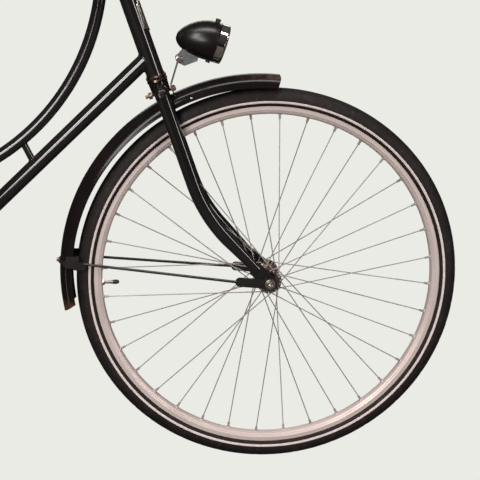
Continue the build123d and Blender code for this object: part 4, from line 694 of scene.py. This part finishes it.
def chain_case():
    shape = Build()
    shape.wire(case_points(0.0720, 0.0340, 0.0001 - CASE_OUTER), 0.0013, 8, closed=True)
    for radius, tall in ((0.0560, 0.0012), (0.0300, 0.0010)):
        shape.turn([(-0.0002, radius + 0.0018), (tall, radius), (tall, radius - 0.0012), (-0.0002, radius - 0.003)],
                   BB + RIGHT * CASE_OUTER, RIGHT, 64)
    shape.done("case_bead", "frame", "case", 50)
    rows = []
    for centre, radius, angles in ((BB, 0.0640, (35, 145, 215, 325)), (REAR, 0.0260, (70, 290))):
        for angle in angles:
            rows.append((polar(centre, radius, angle, 0.0002 - CASE_OUTER), RIGHT, 0.0034, 0.0016))
    heads("case_screws", "frame", "steel", domes=rows)


chain_case()


# Saddle: a padded cover with a welt round its edge, over two coil springs
def smooth_table(rows, x):
    """Values between the rows of a table, (place, value...), along a smooth curve."""
    k = max(i for i in range(len(rows) - 1) if rows[i][0] <= x or i == 0)
    a, b = rows[k], rows[k + 1]
    before, after = rows[max(k - 1, 0)], rows[min(k + 2, len(rows) - 1)]
    step = b[0] - a[0]
    t = min(max((x - a[0]) / step, 0.0), 1.0)
    values = []
    for c in range(1, len(a)):
        m0 = (b[c] - before[c]) / (b[0] - before[0]) * step
        m1 = (after[c] - a[c]) / (after[0] - a[0]) * step
        values.append((2 * t ** 3 - 3 * t ** 2 + 1) * a[c] + (t ** 3 - 2 * t ** 2 + t) * m0
                      + (3 * t ** 2 - 2 * t ** 3) * b[c] + (t ** 3 - t ** 2) * m1)
    return values


POST_X = -0.32117
SADDLE_BACK, SADDLE_NOSE = POST_X - 0.1255, POST_X + 0.1395
# Ahead of the post, half width, crown
SADDLE_FORM = [(-0.126, 0.088, 0.042), (-0.084, 0.1070, 0.0510), (-0.020, 0.0770, 0.0450),
               (0.050, 0.0340, 0.0410), (0.140, 0.0215, 0.0370)]


def saddle_row(x, floor_z, flanks=40, under=5):
    """The saddle's section at x: over the top from left to right, then back below. Also its half width."""
    w, h = smooth_table(SADDLE_FORM, x - POST_X)
    near = min(1.0, (x - SADDLE_BACK) / 0.040)
    far = min(1.0, (SADDLE_NOSE - x) / 0.020)
    close = math.sqrt(max(1 - (1 - near) ** 2, 0.0)) * math.sqrt(max(1 - (1 - far) ** 2, 0.0))
    w = max(w * (0.35 + 0.65 * close), 0.004) if close > 0 else 0.004
    h = h * (0.25 + 0.75 * close)
    row = []
    for j in range(flanks + 1):
        a = math.pi * j / flanks
        c, s = math.cos(a), math.sin(a)
        y = w * math.copysign(abs(c) ** 0.72, c)
        z = h * s ** 0.62
        # A shallow groove along the middle, and a waist above the welt
        z -= 0.0028 * math.exp(-(y / 0.011) ** 2) * close * (0.4 + 0.6 * s)
        y *= 1.0 - 0.035 * math.exp(-((z - 0.010) / 0.006) ** 2)
        row.append(Vector((x, y, floor_z + z)))
    for k in range(1, under + 1):
        row.append(Vector((x, -w * (1 - 2 * k / (under + 1)), floor_z)))
    return row, w


def saddle():
    floor_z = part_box("saddle_cover")[0][2]
    rows = []
    edge = []
    seams = {1: [], -1: []}
    count = 64
    for i in range(count + 1):
        x = (SADDLE_BACK + SADDLE_NOSE) / 2 - (SADDLE_NOSE - SADDLE_BACK) / 2 * math.cos(math.pi * i / count)
        row, w = saddle_row(x, floor_z)
        rows.append(row)
        edge.append(Vector((x, w + 0.0002, floor_z + 0.0030)))
        if 6 <= i <= count - 4:
            for hand, j in ((1, 11), (-1, 29)):
                seams[hand].append(row[j] + UP * 0.0003)
    cover = Build()
    cover.grid(rows, wrap_cols=True, caps=True)
    top = cover.done("saddle_top", "frame", "saddle", 60)
    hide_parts("saddle_cover")
    welt = Build()
    welt.wire(edge + [Vector((p.x, -p.y, p.z)) for p in reversed(edge)], 0.0020, 8, closed=True)
    for hand in (1, -1):
        welt.wire(seams[hand], 0.0009, 6)
    welt.done("saddle_welt", "frame", "saddle", 60)


saddle()


def saddle_coils():
    """Two coil springs, each closed and a little narrower at its ends, between two small plates."""
    low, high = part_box("saddle_springs")
    x = (low[0] + high[0]) / 2
    height = high[2] - low[2]
    turns, steps = 5.5, 150
    wire, plate = 0.0025, 0.0012
    shape = Build()
    for hand in (1, -1):
        y = hand * (high[1] - 0.017)
        points = []
        for i in range(steps + 1):
            t = i / steps
            a = math.tau * turns * t
            flat = min(min(t, 1 - t) / 0.10, 1.0)
            rise = 0.0026 + (height - 0.0052) * min(max((t - 0.09) / 0.82, 0.0), 1.0)
            radius = 0.0144 * (0.86 + 0.14 * flat)
            points.append(Vector((x + radius * math.cos(a), y + radius * math.sin(a), low[2] + rise)))
        shape.wire(points, wire, 8)
        for z in (low[2], high[2] - plate):
            shape.disc(Vector((x, y, z)), UP, 0.0085, plate, 20)
    coils = shape.done("saddle_coils", "frame", "chrome", 50)
    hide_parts("saddle_springs")


saddle_coils()


# Grips: raised rings
def grip_rings():
    """Nineteen rings along each grip, which is fullest near the middle."""
    end = Vector((0.07894, 0.2845, 1.12896))
    knee = Vector((0.26094, 0.2845, 1.15016))
    way = (end - knee).normalized()
    start = end + way * (0.004 - 0.122)
    first, full, last = 0.009, 0.0671, 0.110
    thin, swell = 0.0133, 0.0010
    shape = Build()
    for n in range(19):
        s = 0.013 + n * 0.0050
        part = (s - first) / (full - first) if s < full else (last - s) / (last - full)
        r = thin + swell * part
        shape.turn([(s - 0.0014, r - 0.0001), (s - 0.0008, r + 0.0008), (s + 0.0008, r + 0.0008),
                    (s + 0.0014, r - 0.0001)], start, way, 32)
    shape.mirror()
    shape.done("grip_rings", "fork", "rubber", 50)


grip_rings()


def bell_lever():
    low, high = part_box("bell")
    foot = (Vector(low) + Vector(high)) / 2 + Vector((-0.006, 0.004, -0.012))
    bends = [(0.0, 0.0, 0.0), (-0.010, 0.004, 0.001), (-0.018, 0.008, 0.004), (-0.023, 0.012, 0.004)]
    shape = Build()
    shape.wire([foot + Vector(row) for row in bends], [0.0022, 0.0022, 0.0028, 0.0036])
    shape.done("bell_lever", "fork", "chrome", 40)


bell_lever()


# Carrier: a sprung clip over the platform
def carrier_clip():
    """A wire clip on two coils, a little over the carrier's top, which is taken to a tenth of a millimetre."""
    hinge, tail = -0.4469, -0.6500
    top, half = round(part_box("carrier")[1][2], 4) + 0.0046, 0.030
    bends = [(hinge, half, 0.0), (hinge - 0.05, half, 0.001), (tail + 0.02, half, 0.0),
             (tail + 0.006, half - 0.006, 0.0), (tail, half - 0.014, 0.0), (tail, 0.0, 0.0)]
    points = [Vector((x, y, top + z)) for x, y, z in bends]
    points += [Vector((p.x, -p.y, p.z)) for p in reversed(points[:-1])]
    shape = Build()
    shape.wire(points, 0.0024)
    pivot_z, coil_r, coil_length = 0.7665, 0.0072, 0.014
    turns, steps = 6, 96
    for hand in (1, -1):
        coil = []
        for i in range(steps + 1):
            a = math.tau * turns * i / steps
            coil.append(Vector((hinge + coil_r * math.cos(a), hand * (half + coil_length * i / steps),
                                pivot_z + coil_r * math.sin(a))))
        shape.wire(coil, 0.0011, 6)
    shape.done("carrier_clip", "frame", "steel", 50)


carrier_clip()


def rear_lamp_case():
    """Black surround of the rear lamp, with round corners."""
    low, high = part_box("rear_lamp")
    x = high[0]
    z = (low[2] + high[2]) / 2
    half, tall, r, steps = 0.046, 0.017, 0.012, 48
    shape = Build()
    rows = []
    for back, grow in ((0.0, 0.0006), (0.0060, 0.0006), (0.0068, -0.0004)):
        w, t = half + grow, tall + grow
        ring = []
        for k in range(steps):
            a = math.tau * k / steps
            c, s = math.cos(a), math.sin(a)
            ring.append(Vector((x - back, math.copysign(w - r, c) + r * c, z + math.copysign(t - r, s) + r * s)))
        rows.append(ring)
    shape.grid(rows, wrap_cols=True)
    shape.done("rear_lamp_surround", "frame", "case", 40)


rear_lamp_case()


# Lamp: two beads on its ring, the switch's cap and the nuts of its ear
def lamp_trim():
    aim = level(-LAMP_TILT)
    up = level(90 - LAMP_TILT)
    shape = Build()
    for profile in ([(-0.0158, 0.0349), (-0.0158, 0.0356), (-0.0146, 0.0356), (-0.0146, 0.0349)],
                    [(-0.0030, 0.0350), (-0.0022, 0.0354), (-0.0012, 0.0346), (-0.0006, 0.0338)]):
        shape.turn(profile, LAMP_FRONT, aim, 72)
    shape.done("lamp_ring_beads", "fork", "chrome", 60)
    caps("lamp_switch_cap", "fork", "black_plastic", "rubber",
         [(0.0, 0.0050), (0.0018, 0.0050), (0.0030, 0.0036), (0.0032, 0.0)],
         [(LAMP_FRONT - aim * 0.025 + up * 0.0380, up)], 20)
    heads("lamp_ear_nuts", "fork", "axle",
          [(LAMP_EAR + SIDE * hand * 0.0140, SIDE * hand, 0.0048, 0.0038) for hand in (1, -1)])


lamp_trim()


def badge_rim():
    """A plain raised border on the head tube's plate."""
    middle = steer(0.531)
    outline = [(0.0, -0.0325), (0.0115, -0.0155), (0.0125, 0.0250), (0.0, 0.0325), (-0.0125, 0.0250),
               (-0.0115, -0.0155)]
    face, steps = 0.0171, 5
    points = []
    for k, (a, b) in enumerate(outline):
        c, d = outline[(k + 1) % len(outline)]
        for i in range(steps):
            y, z = a + (c - a) * i / steps, b + (d - b) * i / steps
            turn = y / face
            points.append(middle + HEAD_UP * z + (HEAD_FORE * math.cos(turn) + SIDE * math.sin(turn)) * face)
    shape = Build()
    shape.wire(points, 0.0006, 6, closed=True)
    shape.done("badge_border", "frame", "badge", 60)


badge_rim()


# The camera of the photograph
CAMERA = FRONT + Vector((-0.26278, -2.656, 0.72951))
YAW, PITCH, ROLL = -4.5275, 13.9355, 1.5
PIXELS, FOCAL_PIXELS, SENSOR = 480.0, 1497.0, 36.0


def camera():
    yaw, pitch, roll = math.radians(YAW), math.radians(PITCH), math.radians(ROLL)
    right = Vector((math.cos(yaw), math.sin(yaw), 0.0))
    ahead = Vector((-math.sin(yaw), math.cos(yaw), 0.0))
    look = ahead * math.cos(pitch) - UP * math.sin(pitch)
    rise = UP * math.cos(pitch) + ahead * math.sin(pitch)
    r = right * math.cos(roll) + rise * math.sin(roll)
    u = rise * math.cos(roll) - right * math.sin(roll)
    data = bpy.data.cameras.new("camera")
    data.sensor_width = SENSOR
    data.lens = FOCAL_PIXELS / PIXELS * SENSOR
    data.clip_start = 0.05
    data.clip_end = 60.0
    obj = bpy.data.objects.new("camera", data)
    bpy.context.collection.objects.link(obj)
    turn = Matrix((r, u, -look)).transposed().to_4x4()
    obj.matrix_world = Matrix.Translation(CAMERA) @ turn
    bpy.context.scene.camera = obj


camera()


# Backdrop, floor and lamps
BACK = (0.8228, 0.8308, 0.7835, 1.0)


def by_camera(tree, output, other, shown):
    """Mixes two shaders: the camera sees the second, and all other rays the first."""
    mix = tree.nodes.new("ShaderNodeMixShader")
    path = tree.nodes.new("ShaderNodeLightPath")
    tree.links.new(path.outputs["Is Camera Ray"], mix.inputs["Fac"])
    tree.links.new(other, mix.inputs[1])
    tree.links.new(shown, mix.inputs[2])
    tree.links.new(mix.outputs["Shader"], tree.nodes.new(output).inputs["Surface"])


def backdrop():
    """The photograph's pale ground for the camera; dark, a little lighter overhead, for reflections."""
    world = bpy.data.worlds.new("world")
    bpy.context.scene.world = world
    world.use_nodes = True
    tree = world.node_tree
    tree.nodes.clear()
    seen = tree.nodes.new("ShaderNodeBackground")
    seen.inputs["Color"].default_value = BACK
    lit = tree.nodes.new("ShaderNodeBackground")
    lit.inputs["Strength"].default_value = 1.0
    coords = tree.nodes.new("ShaderNodeTexCoord")
    split = tree.nodes.new("ShaderNodeSeparateXYZ")
    ramp = tree.nodes.new("ShaderNodeValToRGB")
    span = tree.nodes.new("ShaderNodeMapRange")
    span.inputs["From Min"].default_value = -1.0
    span.inputs["From Max"].default_value = 1.0
    ramp.color_ramp.elements[0].color = (0.026, 0.022, 0.021, 1.0)
    ramp.color_ramp.elements[1].position = 1.0
    ramp.color_ramp.elements[1].color = (0.10, 0.092, 0.088, 1.0)
    middle = ramp.color_ramp.elements.new(0.48)
    middle.color = (0.016, 0.013, 0.0125, 1.0)
    links = tree.links
    links.new(coords.outputs["Generated"], split.inputs["Vector"])
    links.new(split.outputs["Z"], span.inputs["Value"])
    links.new(span.outputs["Result"], ramp.inputs["Fac"])
    links.new(ramp.outputs["Color"], lit.inputs["Color"])
    by_camera(tree, "ShaderNodeOutputWorld", lit.outputs["Background"], seen.outputs["Background"])


def ground(half=30.0, depth=-0.001):
    """A wide floor just under the wheels, of the backdrop's colour to the camera."""
    mesh = bpy.data.meshes.new("floor")
    corners = [(-half, -half, depth), (half, -half, depth), (half, half, depth), (-half, half, depth)]
    mesh.from_pydata(corners, [], [(0, 1, 2, 3)])
    obj = bpy.data.objects.new("floor", mesh)
    bpy.context.collection.objects.link(obj)
    mat = bpy.data.materials.new("floor")
    mat.use_nodes = True
    tree = mat.node_tree
    tree.nodes.clear()
    seen = tree.nodes.new("ShaderNodeEmission")
    seen.inputs["Color"].default_value = BACK
    bounce = tree.nodes.new("ShaderNodeBsdfDiffuse")
    bounce.inputs["Color"].default_value = (0.10, 0.095, 0.09, 1.0)
    by_camera(tree, "ShaderNodeOutputMaterial", bounce.outputs["BSDF"], seen.outputs["Emission"])
    mesh.materials.append(mat)
    return obj


backdrop()
floor = ground()


def lamp(name, place, target, width, height, power, colour=(1.0, 0.97, 0.95)):
    """A plain area lamp that the camera doesn't see."""
    data = bpy.data.lights.new(name, "AREA")
    data.shape = "RECTANGLE"
    data.size = width
    data.size_y = height
    data.energy = power
    data.color = colour
    obj = bpy.data.objects.new(name, data)
    bpy.context.collection.objects.link(obj)
    obj.location = place
    obj.rotation_euler = (Vector(target) - Vector(place)).to_track_quat("-Z", "Y").to_euler()
    obj.visible_camera = False


lamp("key", (-1.5, -2.9, 2.3), (0.4, 0, 0.5), 0.65, 2.4, 92.0, (1.0, 0.95, 0.93))
lamp("top", (0.3, -0.9, 3.3), (0.3, 0, 0.4), 2.6, 0.5, 58.0, (1.0, 0.97, 0.96))
lamp("right", (3.0, -2.6, 1.2), (0.5, 0, 0.5), 0.5, 2.2, 44.0, (1.0, 0.97, 0.96))
lamp("front", (-0.9, -4.0, 1.3), (0.4, 0, 0.5), 0.8, 1.2, 46.0, (1.0, 0.95, 0.93))
lamp("back", (0.4, 2.6, 1.8), (0.4, 0, 0.5), 2.6, 0.5, 11.0)

bpy.context.scene.view_settings.view_transform = "Standard"
